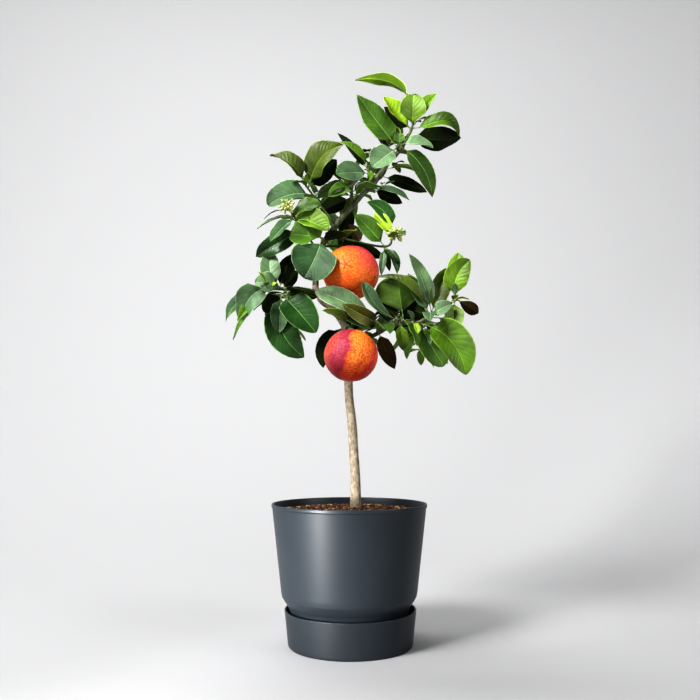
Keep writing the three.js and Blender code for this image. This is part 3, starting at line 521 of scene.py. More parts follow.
# Grained materials: darker and lighter colour, roughness, fineness and stretch of the grain.
GRAIN_DETAIL = 5
GRAIN_SPAN = (0.32, 0.68)
STREAKS = (1, 1, 0.22)
FLECKS = (1, 1, 0.5)
GRAINED = {
    "twig_green": ((0.03, 0.05, 0.012), (0.10, 0.15, 0.035), 0.5, 60),
    "petiole_green": ((0.12, 0.18, 0.04), (0.25, 0.33, 0.09), 0.5, 80),
    "bark_old": ((0.125, 0.095, 0.060), (0.330, 0.284, 0.216), 0.8, 300, FLECKS),
    "bark_scar": ((0.24, 0.20, 0.14), (0.38, 0.33, 0.255), 0.8, 160),
    "bark_young": ((0.060, 0.062, 0.032), (0.22, 0.24, 0.15), 0.65, 170, STREAKS),
    "bud_petal": ((0.38, 0.42, 0.10), (0.74, 0.76, 0.34), 0.5, 260),
    "bud_cup": ((0.14, 0.20, 0.035), (0.30, 0.38, 0.08), 0.5, 220),
    "calyx": ((0.10, 0.13, 0.04), (0.2, 0.22, 0.09), 0.6, 200),
    "mix_brown": ((0.045, 0.02, 0.012), (0.12, 0.052, 0.028), 0.9, 300),
    "chip_red": ((0.056, 0.024, 0.011), (0.150, 0.064, 0.029), 0.85, 400),
    "chip_dark": ((0.022, 0.012, 0.008), (0.065, 0.034, 0.021), 0.9, 400),
    "chip_light": ((0.24, 0.145, 0.065), (0.46, 0.32, 0.17), 0.85, 400),
}
ANTHRACITE = (0.019, 0.024, 0.0295)
# The saucer is the pot's plastic made darker: painted shade.
SAUCER_PAINTED_SHADE = 0.8
WEAR_SPAN = (0.3, 0.7)
WEAR_SHADES = (0.9, 1.1)

# The stage in metres: a pale floor that rises into a wall all round, so every side has the
# same plain ground. A light has a place, an aim, a size, a power and a spread in degrees.
FLOOR_CENTRE = 0.001
FLOOR_RADIUS = 0.9
WALL_RADIUS = 3.4
WALL_HEIGHT = 3.6
WALL_STEPS = 12
STAGE_SIDES = 96
PAPER = (0.40, 0.40, 0.403)
LIGHTS = {
    "key": ((-1.45, -1.35, 1.9), (0, 0, 0.55), 0.95, 76, 180),
    "strip": ((-0.86, -0.95, 0.12), (0, 0, 0.11), 0.2, 1.2, 30),
    "fill": ((2.1, -1.3, 1.2), (0, 0, 0.5), 1.2, 19, 180),
    "backdrop": ((-0.3, 0.6, 2.8), (-0.2, 3.3, 1.1), 1.2, 84, 180),
}
SKY = (0.97, 0.98, 1, 1)
SKY_STRENGTH = 0.22

# The camera looks along +Y, a little upwards.
LENS = 40
SENSOR = 36
CAMERA_PLACE = (-0.0007, -1.290, 0.332)
CAMERA_RISE = 6.29


def seeded(seed):
    """A repeatable run of numbers between 0 and 1."""
    state = seed

    def draw():
        nonlocal state
        state = (state * 1664525 + 1013904223) % 4294967296
        return state / 4294967296

    return draw


def between(random, low, high):
    return low + (high - low) * random()


def unit(vector):
    return vector / norm(vector)


def point_on(points, at):
    """A point on a smooth run through the given points, at counted in points."""
    points = np.asarray(points, float)
    last = len(points) - 1
    i = min(int(math.floor(at)), last - 1)
    u = at - i
    p1, p2 = points[i], points[i + 1]
    p0 = points[i - 1] if i > 0 else 2 * p1 - p2
    p3 = points[i + 2] if i + 2 <= last else 2 * p2 - p1
    return 0.5 * (
        2 * p1
        + (p2 - p0) * u
        + (2 * p0 - 5 * p1 + 4 * p2 - p3) * u * u
        + (3 * p1 - p0 - 3 * p2 + p3) * u ** 3
    )


def leaf_from(base, chord, width, face, rise, bow, tint, *shape):
    """Everything a leaf needs: root, reach, width, upper face, rise and bow of its midrib,
    and what isn't plain about its shape."""
    fold, ease, twist, sway = shape + PLAIN_SHAPE[len(shape):]
    length = norm(chord)
    ahead = chord / length
    normal = unit(face - ahead * (face @ ahead))
    across = np.cross(ahead, normal)
    return {
        "base": base, "chord": chord, "width": width, "length": length, "tint": tint,
        "ahead": ahead, "normal": normal, "bulge": (normal * rise + across * bow) * length,
        "wave": normal * SWAY_SCALE * sway * length, "ease": ease,
        "fold": math.radians(fold), "twist": math.radians(twist),
    }


def midrib(leaf, t):
    """Places on the midrib and the directions across and up there, for one t or many."""
    t = np.asarray(t, float)[..., None]
    place = leaf["base"] + leaf["chord"] * t + leaf["bulge"] * 4 * t * (1 - t)
    place = place + leaf["wave"] * t * (1 - t) * (2 * t - 1)
    along = leaf["chord"] + leaf["bulge"] * 4 * (1 - 2 * t)
    along = along + leaf["wave"] * (6 * t * (1 - t) - 1)
    along = along / norm(along, axis=-1, keepdims=True)
    turn = leaf["twist"] * t
    face = leaf["normal"] * np.cos(turn) + np.cross(leaf["ahead"], leaf["normal"]) * np.sin(turn)
    across = np.cross(along, face)
    across = across / norm(across, axis=-1, keepdims=True)
    return place, across, np.cross(across, along)


def half_width(leaf, share):
    """Half the blade's width at a share of the blade's length; a slender leaf ends sharper."""
    share = np.clip(share, 0, 1)
    eased = share ** leaf["ease"]
    tip = min(max(TIP_BALANCE - leaf["width"] / leaf["length"], BLUNTEST), SHARPEST)
    power = BLUNTEST + (tip - BLUNTEST) * share * share
    return 0.5 * leaf["width"] * (4 * eased * (1 - eased)) ** power


def leaf_samples(leaf):
    """The points that stand for a leaf in the clearance tests."""
    t = np.array(BLADE_SAMPLES)
    place, across, _ = midrib(leaf, t)
    half = half_width(leaf, (t - PETIOLE_SHARE) / (1 - PETIOLE_SHARE))
    side = across * (SIDE_SAMPLE * half)[:, None]
    return np.concatenate([place, place + side, place - side])


def stem_points(mass):
    points = [point_on(LIMBS[mass["limb"]], mass["at"])[:3]]
    for step in mass["stem"]:
        points.append(points[-1] + np.array(step, float))
    return np.array(points)


def stem_axes(points):
    """The direction along a stem and two across it."""
    stem = unit(points[-1] - points[0])
    side = unit(np.cross([0, 0, 1], stem))
    return stem, side, np.cross(stem, side)


def row_leaf(points, row):
    at, dx, dy, dz, width, lean, *rest = row
    lean = math.radians(lean)
    face = np.array([0, -math.sin(lean), math.cos(lean)])
    return leaf_from(point_on(points, at), np.array([dx, dy, dz], float), width, face, *rest)


def proposed_leaf(points, i, count, random):
    """The next leaf the rule proposes: a turn by the golden angle around the stem."""
    stem, side, other = stem_axes(points)
    at = (len(points) - 1) * (RULE["first"] + (1 - RULE["first"]) * ((i + 1) / count))
    turn = i * GOLDEN_ANGLE + random() * RULE["stray"]
    opened = RULE["open"] + RULE["opener"] * random()
    length = RULE["shortest"] + RULE["longer"] * random()
    width = length * (RULE["width"] + RULE["wider"] * random())
    rise = RULE["rise"] + RULE["riser"] * random()
    out = side * math.cos(turn) + other * math.sin(turn)
    chord = (stem * math.cos(opened) + out * math.sin(opened)) * length
    chord[2] -= RULE["droop"] * length
    face = np.array([out[0] * RULE["tilt"], out[1] * RULE["tilt"], 1])
    tint = RULE_TINTS[i % len(RULE_TINTS)]
    return leaf_from(point_on(points, at), chord, width, face, rise, 0, tint)


def run_samples(points):
    steps = (len(points) - 1) * SAMPLES_PER_STEP
    return [point_on(points, i / SAMPLES_PER_STEP) for i in range(steps + 1)]


def wood_samples(points, leaves):
    """A mass's stem and petioles, which the leaves of other masses keep clear of."""
    wood = [[*p, STEM_RADIUS] for p in run_samples(points)]
    for leaf in leaves:
        wood += [[*p, PETIOLE_RADIUS] for p in midrib(leaf, PETIOLE_SAMPLES)[0]]
    return wood


def wood_around(grown, name):
    """The limbs, and the wood of every mass but the named one."""
    wood = [p for points in LIMBS.values() for p in run_samples(points)]
    for key, other in grown.items():
        if key != name:
            wood += wood_samples(other["points"], other["leaves"])
    return np.array(wood)


def keeps_clear(samples, end, reach, taken, wood, clearance):
    """Whether samples stay within reach of a stem's end and off the wood and other leaves."""
    if (norm(samples - end, axis=1) >= reach).any():
        return False
    off_wood = norm(samples[:, None] - wood[None, :, :3], axis=2)
    if (off_wood <= wood[None, :, 3] + LIMB_CLEARANCE).any():
        return False
    return bool((norm(samples[:, None] - taken[None], axis=2) > clearance).all())


def fruit_centre(points, radius):
    return points[-1] + np.array([0, 0, FRUIT_SINK - radius])


def circle(side, other, sides):
    """Directions evenly round a circle."""
    turns = np.arange(sides) * math.tau / sides
    return np.outer(np.cos(turns), side) + np.outer(np.sin(turns), other)


def sphere_samples(centre, radius):
    """The points that stand for a fruit in the clearance tests."""
    samples = []
    for height in np.linspace(-math.pi / 2, math.pi / 2, FRUIT_SAMPLES // 2 + 1):
        flat = math.cos(height)
        ring = circle([flat, 0, 0], [0, flat, 0], FRUIT_SAMPLES)
        samples.append(ring + [0, 0, math.sin(height)])
    return centre + radius * np.concatenate(samples)


def grow_leaves():
    """All leaves of all masses: the ones that stand out, the rule's, then the finer twigs'."""
    grown = {}
    taken = []
    for name, mass in MASSES.items():
        points = stem_points(mass)
        leaves = [row_leaf(points, row) for row in mass["rows"]]
        grown[name] = {"points": points, "leaves": leaves, "twiglets": []}
        taken += [leaf_samples(leaf) for leaf in leaves]
        if mass["fruit"]:
            taken.append(sphere_samples(fruit_centre(points, mass["fruit"]), mass["fruit"]))
    taken = np.concatenate(taken)
    for name, mass in MASSES.items():
        random = seeded(mass["seed"])
        points = grown[name]["points"]
        wood = wood_around(grown, name)
        for i in range(mass["leaves"]):
            leaf = proposed_leaf(points, i, mass["leaves"], random)
            samples = leaf_samples(leaf)
            if keeps_clear(samples, points[-1], mass["reach"], taken, wood, LEAF_CLEARANCE):
                grown[name]["leaves"].append(leaf)
                taken = np.concatenate([taken, samples])
    grow_twiglets(grown, taken)
    return grown


def grow_twiglets(grown, taken):
    """Finer twigs with small leaves, within the reach of their mass and clear of all else."""
    for name, mass in MASSES.items():
        count, seed, larger = mass["finer"]
        random = seeded(seed)
        points = grown[name]["points"]
        wood = wood_around(grown, name)
        for i in range(count):
            twiglet = proposed_twiglet(points, i, larger, random)
            samples = [leaf_samples(leaf) for leaf in twiglet["leaves"]]
            samples = np.concatenate(samples + [twiglet["points"][1:]])
            if keeps_clear(samples, points[-1], mass["reach"], taken, wood, TWIGLET["clearance"]):
                grown[name]["twiglets"].append(twiglet)
                taken = np.concatenate([taken, samples])


def proposed_twiglet(points, i, larger, random):
    """A finer twig with its leaves, which spring round it by the golden angle."""
    stem, side, other = stem_axes(points)
    at = (len(points) - 1) * (TWIGLET["first"] + TWIGLET["span"] * random())
    base = point_on(points, at)
    turn = i * GOLDEN_ANGLE + math.tau * random()
    length = (TWIGLET["shortest"] + TWIGLET["longer"] * random()) * larger
    out = side * math.cos(turn) + other * math.sin(turn)
    ahead = unit(stem * TWIGLET["along"] + out + np.array([0, 0, TWIGLET["up"]]))
    tip = base + ahead * length
    bend = base + ahead * length * 0.5 - np.array([0, 0, TWIGLET["sag"]])
    leaves = []
    for k, tint in enumerate(TWIGLET_TINTS):
        size = (TWIGLET["leaf"] + TWIGLET["larger"] * random()) * larger
        spin = turn + k * GOLDEN_ANGLE
        fan = side * math.cos(spin) + other * math.sin(spin)
        chord = unit(ahead + fan) * size
        face = np.array([chord[0] * TWIGLET["tilt"], chord[1] * TWIGLET["tilt"], 1])
        root = base + (tip - base) * (TWIGLET["leaf_at"] + TWIGLET["leaf_step"] * k)
        width = size * TWIGLET["width"]
        leaves.append(leaf_from(root, chord, width, face, TWIGLET["rise"], 0, tint))
    return {"points": np.array([base, bend, tip]), "leaves": leaves}


def new_object(name, points, faces, materials, smooth=True):
    """An object in the scene with a mesh through the points, in metres."""
    mesh = bpy.data.meshes.new(name)
    mesh.from_pydata(points.tolist(), [], faces)
    for material in materials:
        mesh.materials.append(material)
    mesh.polygons.foreach_set("use_smooth", [smooth] * len(faces))
    made = bpy.data.objects.new(name, mesh)
    bpy.context.scene.collection.objects.link(made)
    return made


class Piece:
    """Vertices, faces and finishes that end up in one mesh."""

    def __init__(self):
        self.points = []
        self.faces = []
        self.finishes = []
        self.count = 0

    def add(self, points, faces, finishes):
        self.points.append(points)
        self.faces.extend([[k + self.count for k in face] for face in faces])
        self.finishes.extend(finishes)
        self.count += len(points)

    def build(self, name, materials, nodes, smooth=True):
        """Makes the mesh, rides it on the body and lets it stand for its CAD nodes."""
        points = np.concatenate(self.points) * MM
        piece = new_object(name, points, self.faces, materials, smooth)
        piece.data.polygons.foreach_set("material_index", self.finishes)
        piece.data.update()
        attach(piece, "root")
        if nodes:
            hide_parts(*nodes)


def ring_faces(rings, sides):
    """Quads between rings of points."""
    faces = []
    for r in range(rings - 1):
        for k in range(sides):
            a = r * sides + k
            b = r * sides + (k + 1) % sides
            faces.append([a, b, b + sides, a + sides])
    return faces


def closed_faces(rings, sides):
    """Quads between rings of points, and fans to the two end points that follow them."""
    faces = ring_faces(rings, sides)
    low, last = rings * sides, (rings - 1) * sides
    for k in range(sides):
        following = (k + 1) % sides
        faces += [[low, following, k], [low + 1, last + k, last + following]]
    return faces


def add_tube(piece, spine, radii, sides, finish, relief=None):
    """A round tube along a run of places, with bulging ends and relief if wanted."""
    spine = np.asarray(spine, float)
    ahead = np.gradient(spine, axis=0)
    ahead /= norm(ahead, axis=1, keepdims=True)
    side = unit(np.cross(ahead[0], SIDE_HINT))
    rings = []
    for place, along, radius in zip(spine, ahead, radii):
        side = unit(side - along * (side @ along))
        outward = circle(side, np.cross(along, side), sides)
        ring = place + outward * radius
        if relief:
            ring += outward * np.array([relief(p) for p in ring])[:, None]
        rings.append(ring)
    foot = spine[0] - ahead[0] * FOOT_BULGE * radii[0]
    tip = spine[-1] + ahead[-1] * TIP_BULGE * radii[-1]
    points = np.concatenate(rings + [[foot, tip]])
    faces = closed_faces(len(rings), sides)
    if callable(finish):
        finishes = [finish(points[face].mean(axis=0)) for face in faces]
    else:
        finishes = [finish] * len(faces)
    piece.add(points, faces, finishes)


def vein_rows(length, random):
    """Rows of a blade as shares of its length, how high each stands, and the veins' rows."""
    count = max(FEWEST_VEINS, round(length / VEIN_SPACING))
    step = VEINS_SPAN / count
    strays = [VEIN_STRAY * (random() - 0.5) for _ in range(count)]
    places = [VEINS_FROM + step * (i + 0.5 + stray) for i, stray in enumerate(strays)]
    gaps = [after - place for place, after in zip(places, places[1:])] + [step]
    strip = VEIN_STRIP / length
    rows, heights, veins = [0.0], [0.0], []
    for place, gap in zip(places, gaps):
        veins.append(len(rows))
        rows += [place - strip, place + strip] + [place + gap * way for way, _ in PLEAT_ROWS]
        heights += [0.0, 0.0] + [height for _, height in PLEAT_ROWS]
    rows[-1] = min(rows[-1], LAST_ROW)
    return np.array(rows + [1.0]), np.array(heights + [0.0]), veins


def blade_columns(leaf, rows, scale):
    """Places across the blade in each row, from -1 to 1, with a strip for the midrib."""
    half = np.maximum(half_width(leaf, rows), NARROWEST)
    rib = np.minimum(RIB_STRIP * scale * (1 - RIB_TAPER * rows) / half, RIB_WIDEST)
    left = [-rib - (1 - rib) * c for c in reversed(COLUMNS)]
    right = [rib + (1 - rib) * c for c in COLUMNS]
    return np.stack(left + [-rib, 0 * rib, rib] + right, axis=1)


def blade_heights(leaf, u, share, across_by, heights, scale, random):
    """How far the blade stands off its midrib's plane: fold, curl, pleats, groove and wave."""
    wave = EDGE_WAVE * leaf["width"] * between(random, *WAVE_SHARES)
    beats = between(random, *WAVE_BEATS)
    phase = math.tau * random()
    curl = between(random, *EDGE_CURLS)
    amount = np.abs(u)
    pleat = BOLD_PLEAT if leaf["tint"] in BOLDLY_PLEATED else SLIGHT_PLEAT
    pleat = pleat * scale * heights[:, None]
    pleat = pleat * np.sin(math.pi * np.clip(amount, 0, 1) ** PLEAT_ROUNDNESS)
    groove = -RIB_DEPTH * scale * np.clip(1 - amount / RIB_GROOVE, 0, 1)
    ripple = np.sin(math.tau * beats * share + phase + np.sign(u) * WAVE_LAG)
    cup = np.abs(across_by) * (math.sin(leaf["fold"]) + curl * amount ** 2)
    return cup + pleat + groove + wave * amount ** 2 * ripple


def blade_faces(row_count, column_count, veins, finish):
    """Faces of the blade's upper side, underside and thin edge, with their finishes."""
    blade, back, rib, vein = range(finish, finish + 4)
    total = row_count * column_count
    rib_columns = (0, len(COLUMNS), len(COLUMNS) + 1, column_count - 2)
    faces, finishes = [], []
    for r in range(row_count - 1):
        for k in range(column_count - 1):
            a = r * column_count + k
            quad = [a, a + 1, a + 1 + column_count, a + column_count]
            faces += [quad[::-1], [v + total for v in quad]]
            if k in rib_columns:
                finishes += [rib, rib]
            else:
                finishes += [vein if r in veins else blade, back]
    grid = np.arange(total).reshape(row_count, column_count)
    rim = [*grid[0], *grid[1:, -1], *grid[-1, -2::-1], *grid[-2:0:-1, 0]]
    for a, b in zip(rim, rim[1:] + rim[:1]):
        faces.append([a, b, b + total, a + total])
        finishes.append(rib)
    return faces, finishes


def add_leaf(piece, leaf, finish, seed):
    """A blade with sunk veins between pleats, closed round its thin edge."""
    random = seeded(seed)
    length = leaf["length"] * (1 - PETIOLE_SHARE)
    scale = min(1.0, length / FULL_LEAF)
    rows, heights, veins = vein_rows(length, random)
    u = blade_columns(leaf, rows, scale)
    q = rows[:, None]
    sweep = VEIN_SWEEP * (leaf["width"] / 2 / length) * np.sin(math.pi * q)
    share = np.clip(q + sweep * np.abs(u), 0, 1)
    across_by = u * np.maximum(half_width(leaf, share), NARROWEST)
    across_by *= 1 + EDGE_SCALLOP * np.sin(math.tau * share * len(veins))
    up_by = blade_heights(leaf, u, share, across_by, heights, scale, random)
    place, across, up = midrib(leaf, PETIOLE_SHARE + (1 - PETIOLE_SHARE) * share)
    flat = across_by * math.cos(leaf["fold"])
    middle = place + across * flat[..., None] + up * up_by[..., None]
    thick = BLADE_THICKNESS * (THINNEST_SHARE + (1 - THINNEST_SHARE) * scale) / 2
    sides = [(middle + up * thick).reshape(-1, 3), (middle - up * thick).reshape(-1, 3)]
    piece.add(np.concatenate(sides), *blade_faces(*u.shape, veins, finish))


def add_petiole(piece, leaf, finish):
    """The leaf's stalk, a little thicker at both ends, running on under the blade's foot."""
    t = np.linspace(0, PETIOLE_SHARE + STALK_RUNS_ON, STALK_RINGS)
    place, _, up = midrib(leaf, t)
    scale = min(1.0, leaf["length"] / FULL_STALK_LEAF)
    swelling = STALK_SWELLING * np.cos(np.linspace(0, math.tau, STALK_RINGS))
    radii = PETIOLE_RADIUS * scale * (STALK_MEAN + swelling)
    radii[-1] *= STALK_TIP
    add_tube(piece, place - up * STALK_SINK, radii, STALK_SIDES, finish)


def add_stem(piece, growth):
    """A mass's stem, which swells a little where a leaf springs."""
    steps = len(growth["points"]) - 1
    at = np.linspace(0, steps, STEM_RINGS * steps + 1)
    spine = np.array([point_on(growth["points"], a) for a in at])
    radii = STEM_RADIUS + (STEM_TIP_RADIUS - STEM_RADIUS) * at / steps
    roots = np.array([leaf["base"] for leaf in growth["leaves"]]).reshape(-1, 3)
    for i, place in enumerate(spine):
        if len(roots):
            near = norm(roots - place, axis=1).min()
            radii[i] += NODE_SWELLING * math.exp(-(near / NODE_LENGTH) ** 2)
    add_tube(piece, spine, radii, STEM_SIDES, 0)


def make_twigs(grown, materials):
    """Stems, finer twigs and the stalks of all leaves."""
    piece = Piece()
    for growth in grown.values():
        add_stem(piece, growth)
        for leaf in growth["leaves"]:
            add_petiole(piece, leaf, 1)
        for twiglet in growth["twiglets"]:
            run = [point_on(twiglet["points"], a) for a in np.linspace(0, 2, TWIGLET_RINGS)]
            radii = np.linspace(TWIGLET_RADIUS, TWIGLET_TIP_RADIUS, TWIGLET_RINGS)
            add_tube(piece, run, radii, TWIGLET_SIDES, 0)
            for leaf in twiglet["leaves"]:
                add_petiole(piece, leaf, 1)
    piece.build("twigs", materials, ["foliage_" + name for name in MASSES])


def bark_relief(place):
    """Fine ridges along the bark, with now and then a swelling, in millimetres."""
    relief = 0
    for fineness, shift, height in BARK_RELIEF:
        spot = Vector([p * f for p, f in zip(place, fineness)]) + Vector(shift)
        relief += height * noise.noise(spot)
    return relief


def trunk_middle(height):
    points = np.array(LIMBS["trunk"], float)
    return [np.interp(height, points[:, 2], points[:, k]) for k in (0, 1)]


def scar_share(place):
    """How far inside a scar a place on the trunk is, from 0 outside to 1 in its middle, and
    its swelling."""
    middle = trunk_middle(place[2])
    turn = math.atan2(place[0] - middle[0], middle[1] - place[1])
    best, swell = 0.0, 0.0
    for height, at, tall, wide, out in SCARS:
        share = 1 - ((place[2] - height) / tall) ** 2 - ((turn - at) / wide) ** 2
        if share > best:
            best, swell = share, out * share
    return best, swell


def trunk_relief(place):
    return bark_relief(place) + scar_share(place)[1]


def trunk_finish(place):
    return 1 if scar_share(place)[0] > SCAR_EDGE else 0


def make_limbs(materials):
    """Trunk and limbs as round tapering wood with relief; the trunk's foot is in the mix."""
    piece = Piece()
    for name, points in LIMBS.items():
        spans = norm(np.diff(np.array(points)[:, :3], axis=0), axis=1)
        at = [0.0]
        for i, span in enumerate(spans):
            steps = max(FEWEST_RINGS, round(span / RING_SPACING))
            at += [i + (k + 1) / steps for k in range(steps)]
        run = np.array([point_on(points, a) for a in at])
        if name == "trunk":
            add_tube(piece, run[:, :3], run[:, 3], TRUNK_SIDES, trunk_finish, trunk_relief)
        else:
            finish = 2 if name in YOUNG_LIMBS else 0
            add_tube(piece, run[:, :3], run[:, 3], LIMB_SIDES, finish, bark_relief)
    piece.build("bark", materials, list(LIMBS))


def rounded(profile):
    """The profile with its corners rounded, and a point beside each to keep its sides flat."""
    points = [np.array(p, float) for p in profile]
    result = [points[0]]
    for before, corner, after in zip(points, points[1:], points[2:]):
        first, second = before - corner, after - corner
        shorter = min(norm(first), norm(second))
        reach = min(EDGE_RADIUS, shorter * EDGE_SHARE)
        back, on = unit(first) * reach, unit(second) * reach
        result.append(corner + back * EDGE_SUPPORT)
        for i in range(EDGE_STEPS + 1):
            u = i / EDGE_STEPS
            result.append(corner + (1 - u) ** 2 * back + u * u * on)
        result.append(corner + on * EDGE_SUPPORT)
    return result + [points[-1]]


def make_turned(name, profile, offset, material, node):
    """A turned body through radius and height pairs that start and end on the axis."""
    profile = rounded(profile)
    around = circle([1, 0, 0], [0, 1, 0], ROUND_SEGMENTS)
    rings = [around * r + [offset, 0, z] for r, z in profile[1:-1]]
    ends = [[offset, 0, profile[0][1]], [offset, 0, profile[-1][1]]]
    faces = closed_faces(len(rings), ROUND_SEGMENTS)
    piece = Piece()
    piece.add(np.concatenate(rings + [ends]), faces, [0] * len(faces))
    piece.build(name, [material], [node])


def make_saucer():
    foot = SAUCER_FOOT_RADIUS + FOOT_ROUNDING
    profile = [
        (0, 0),
        (SAUCER_FOOT_RADIUS + FOOT_ROUNDING * FOOT_FLAT_SHARE, 0),
        (foot, FOOT_ROUNDING),
        (SAUCER_RIM_RADIUS, SAUCER_HEIGHT),
        (SAUCER_RIM_RADIUS - SAUCER_WALL, SAUCER_HEIGHT),
        (foot - SAUCER_WALL, SAUCER_FLOOR),
        (0, SAUCER_FLOOR),
    ]
    # Painted shade: the pot's plastic, darker for the saucer.
    material = plastic_material("saucer_plastic", shade(ANTHRACITE, SAUCER_PAINTED_SHADE))
    make_turned("saucer_body", profile, 0, material, "saucer")


def make_pot():
    under = SAUCER_FLOOR + GAP
    wall_top = POT_RIM_HEIGHT - LIP_HEIGHT
    profile = [
        (0, under),
        (POT_FOOT_RADIUS, under),
        (NECK_RADIUS - NECK_SLOPE[0], NECK_HEIGHT - NECK_SLOPE[1]),
        (NECK_RADIUS, NECK_HEIGHT),
        *[(SHOULDER_RADIUS - away, SHOULDER_HEIGHT - down) for away, down in SHOULDER_SLOPES],
        (SHOULDER_RADIUS, SHOULDER_HEIGHT),
        (POT_RIM_RADIUS - LIP_OVERHANG, wall_top),
        (POT_RIM_RADIUS, wall_top + LIP_SLOPE),
        (POT_RIM_RADIUS, POT_RIM_HEIGHT),
        (POT_RIM_RADIUS - POT_WALL, POT_RIM_HEIGHT),
        (POT_RIM_RADIUS - LIP_OVERHANG - POT_WALL, wall_top),
        (SHOULDER_RADIUS - POT_WALL, SHOULDER_HEIGHT),
        (NECK_RADIUS - POT_WALL, NECK_HEIGHT),
        (POT_FOOT_RADIUS - POT_WALL, under + POT_WALL),
        (0, under + POT_WALL),
    ]
    material = plastic_material("pot_plastic", ANTHRACITE)
    make_turned("pot_body", profile, POT_OFFSET_X, material, "pot")


def soil_height(radius):
    """Height of the soil's top at a radius: a low mound."""
    share = (radius - SOIL_MOUND_RADIUS) / (CHIP_FIELD_RADIUS - SOIL_MOUND_RADIUS)
    return SOIL_MIDDLE + (SOIL_EDGE - SOIL_MIDDLE) * min(max(share, 0), 1)


def make_soil():
    """The mix's lumpy top and side."""
    grid = []
    for radius in np.linspace(SOIL_INNERMOST, CHIP_FIELD_RADIUS + SOIL_BEYOND_CHIPS, SOIL_RINGS):
        for x, y, _ in circle([1, 0, 0], [0, 1, 0], SOIL_SIDES) * radius:
            height = soil_height(radius)
            for fineness, lump, slice_at in SOIL_LUMPS:
                height += lump * noise.noise(Vector((x * fineness, y * fineness, slice_at)))
            grid.append([x + POT_OFFSET_X, y, height])
    under = SOIL_EDGE - SOIL_DEPTH
    side = [[x, y, under] for x, y, _ in grid[-SOIL_SIDES:]]
    ends = [[POT_OFFSET_X, 0, SOIL_MIDDLE], [POT_OFFSET_X, 0, under]]
    faces = [face[::-1] for face in closed_faces(SOIL_RINGS + 1, SOIL_SIDES)]
    piece = Piece()
    piece.add(np.array(grid + side + ends), faces, [0] * len(faces))
    piece.build("soil_top", [grained("mix_brown")], ["soil"])


def make_chips():
    """Loose chips of bark and fibre over the soil, laid out in a golden-angle spiral."""
    random = seeded(CHIP_SEED)
    piece = Piece()
    for i in range(CHIP_COUNT):
        radius = CHIP_FIELD_RADIUS * math.sqrt((i + 0.5) / CHIP_COUNT)
        turn = i * GOLDEN_ANGLE + CHIP_STRAY * random()
        size = CHIP_SMALLEST + CHIP_LARGER * random() ** CHIP_RARITY
        stretch = [least + more * random() ** rarity for least, more, rarity in CHIP_STRETCH]
        least, more = CHIP_UNEVENNESS
        uneven = least + more * np.array([random() for _ in CHIP_CORNERS])
        corners = CHIP_CORNERS * size * stretch * uneven[:, None]
        yaw, pitch = math.tau * random(), CHIP_TILT * (random() - 0.5)
        cy, sy, cp, sp = math.cos(yaw), math.sin(yaw), math.cos(pitch), math.sin(pitch)
        spin = np.array([[cy * cp, -sy, cy * sp], [sy * cp, cy, sy * sp], [-sp, 0, cp]])
        x, y = radius * math.cos(turn) + POT_OFFSET_X, radius * math.sin(turn)
        least, more = CHIP_LIFT
        place = [x, y, soil_height(radius) + least + more * random()]
        kind = random()
        finish = 0 if kind < RED_CHIPS else 1 if kind < RED_OR_DARK_CHIPS else 2
        piece.add(corners @ spin.T + place, CHIP_FACES, [finish] * len(CHIP_FACES))
    materials = [grained("chip_red"), grained("chip_dark"), grained("chip_light")]
    piece.build("soil_chips", materials, [], smooth=False)


def peel_radius(out, tilt, radius):
    """How far the peel is from the middle, in radii: a slightly uneven globe with a dimple
    round its stalk and a small one at its foot."""
    fineness, height = PEEL_LUMPS
    uneven = height * noise.noise(Vector(out * fineness) + Vector((radius, 0, 0)))
    fineness, height = PEEL_RIPPLES
    uneven += height * noise.noise(Vector(out * fineness))
    for away, (depth, spread) in ((tilt, STALK_DIMPLE), (math.pi - tilt, FOOT_DIMPLE)):
        uneven -= depth * math.exp(-(away / spread) ** 2)
    return 1 + uneven


def make_fruit(name, grown, calyx):
    """One orange, slightly flattened, with the five lobes of its calyx."""
    look = FRUITS[name]
    squash = look["squash"]
    radius = MASSES[name]["fruit"]
    centre = fruit_centre(grown[name]["points"], radius)
    points = []
    for i in range(1, FRUIT_RINGS):
        tilt = math.pi * i / FRUIT_RINGS
        flat = circle([math.sin(tilt), 0, 0], [0, math.sin(tilt), 0], FRUIT_SIDES)
        for out in flat + [0, 0, math.cos(tilt)]:
            points.append(centre + out * radius * peel_radius(out, tilt, radius) * [1, 1, squash])
    points.append(centre + [0, 0, radius * STALK_POLE * squash])
    points.append(centre - [0, 0, radius * FOOT_POLE * squash])
    faces = [face[::-1] for face in closed_faces(FRUIT_RINGS - 1, FRUIT_SIDES)]
    piece = Piece()
    piece.add(np.array(points), faces, [0] * len(faces))
    for lobe in circle([CALYX_REACH, 0, 0], [0, CALYX_REACH, 0], CALYX_LOBES):
        tip = centre + lobe + [0, 0, radius * CALYX_TIP_HEIGHT * squash]
        root = centre + [0, 0, radius * CALYX_HEIGHT * squash]
        run = [root, (root + tip) / 2 + [0, 0, CALYX_BULGE], tip]
        add_tube(piece, run, CALYX_RADII, CALYX_SIDES, 1)
    materials = [peel_material("peel_" + name, look, centre, radius), calyx]
    piece.build(name, materials, ["foliage_" + name])


def add_bud(piece, place, ahead, length, width):
    """A closed flower bud: a little oval with a green cup at its foot."""
    side = unit(np.cross(ahead, BUD_SIDE_HINT))
    around = circle(side, np.cross(ahead, side), BUD_SIDES)
    rings = [place + ahead * length * at + around * width / 2 * wide for at, wide in BUD_OUTLINE]
    points = np.concatenate(rings + [[place, place + ahead * length]])
    faces = closed_faces(len(rings), BUD_SIDES)
    quads = (len(rings) - 1) * BUD_SIDES
    finishes = [1 if i // BUD_SIDES < CUP_RINGS else 0 for i in range(quads)]
    piece.add(points, faces, finishes + [1, 0] * BUD_SIDES)


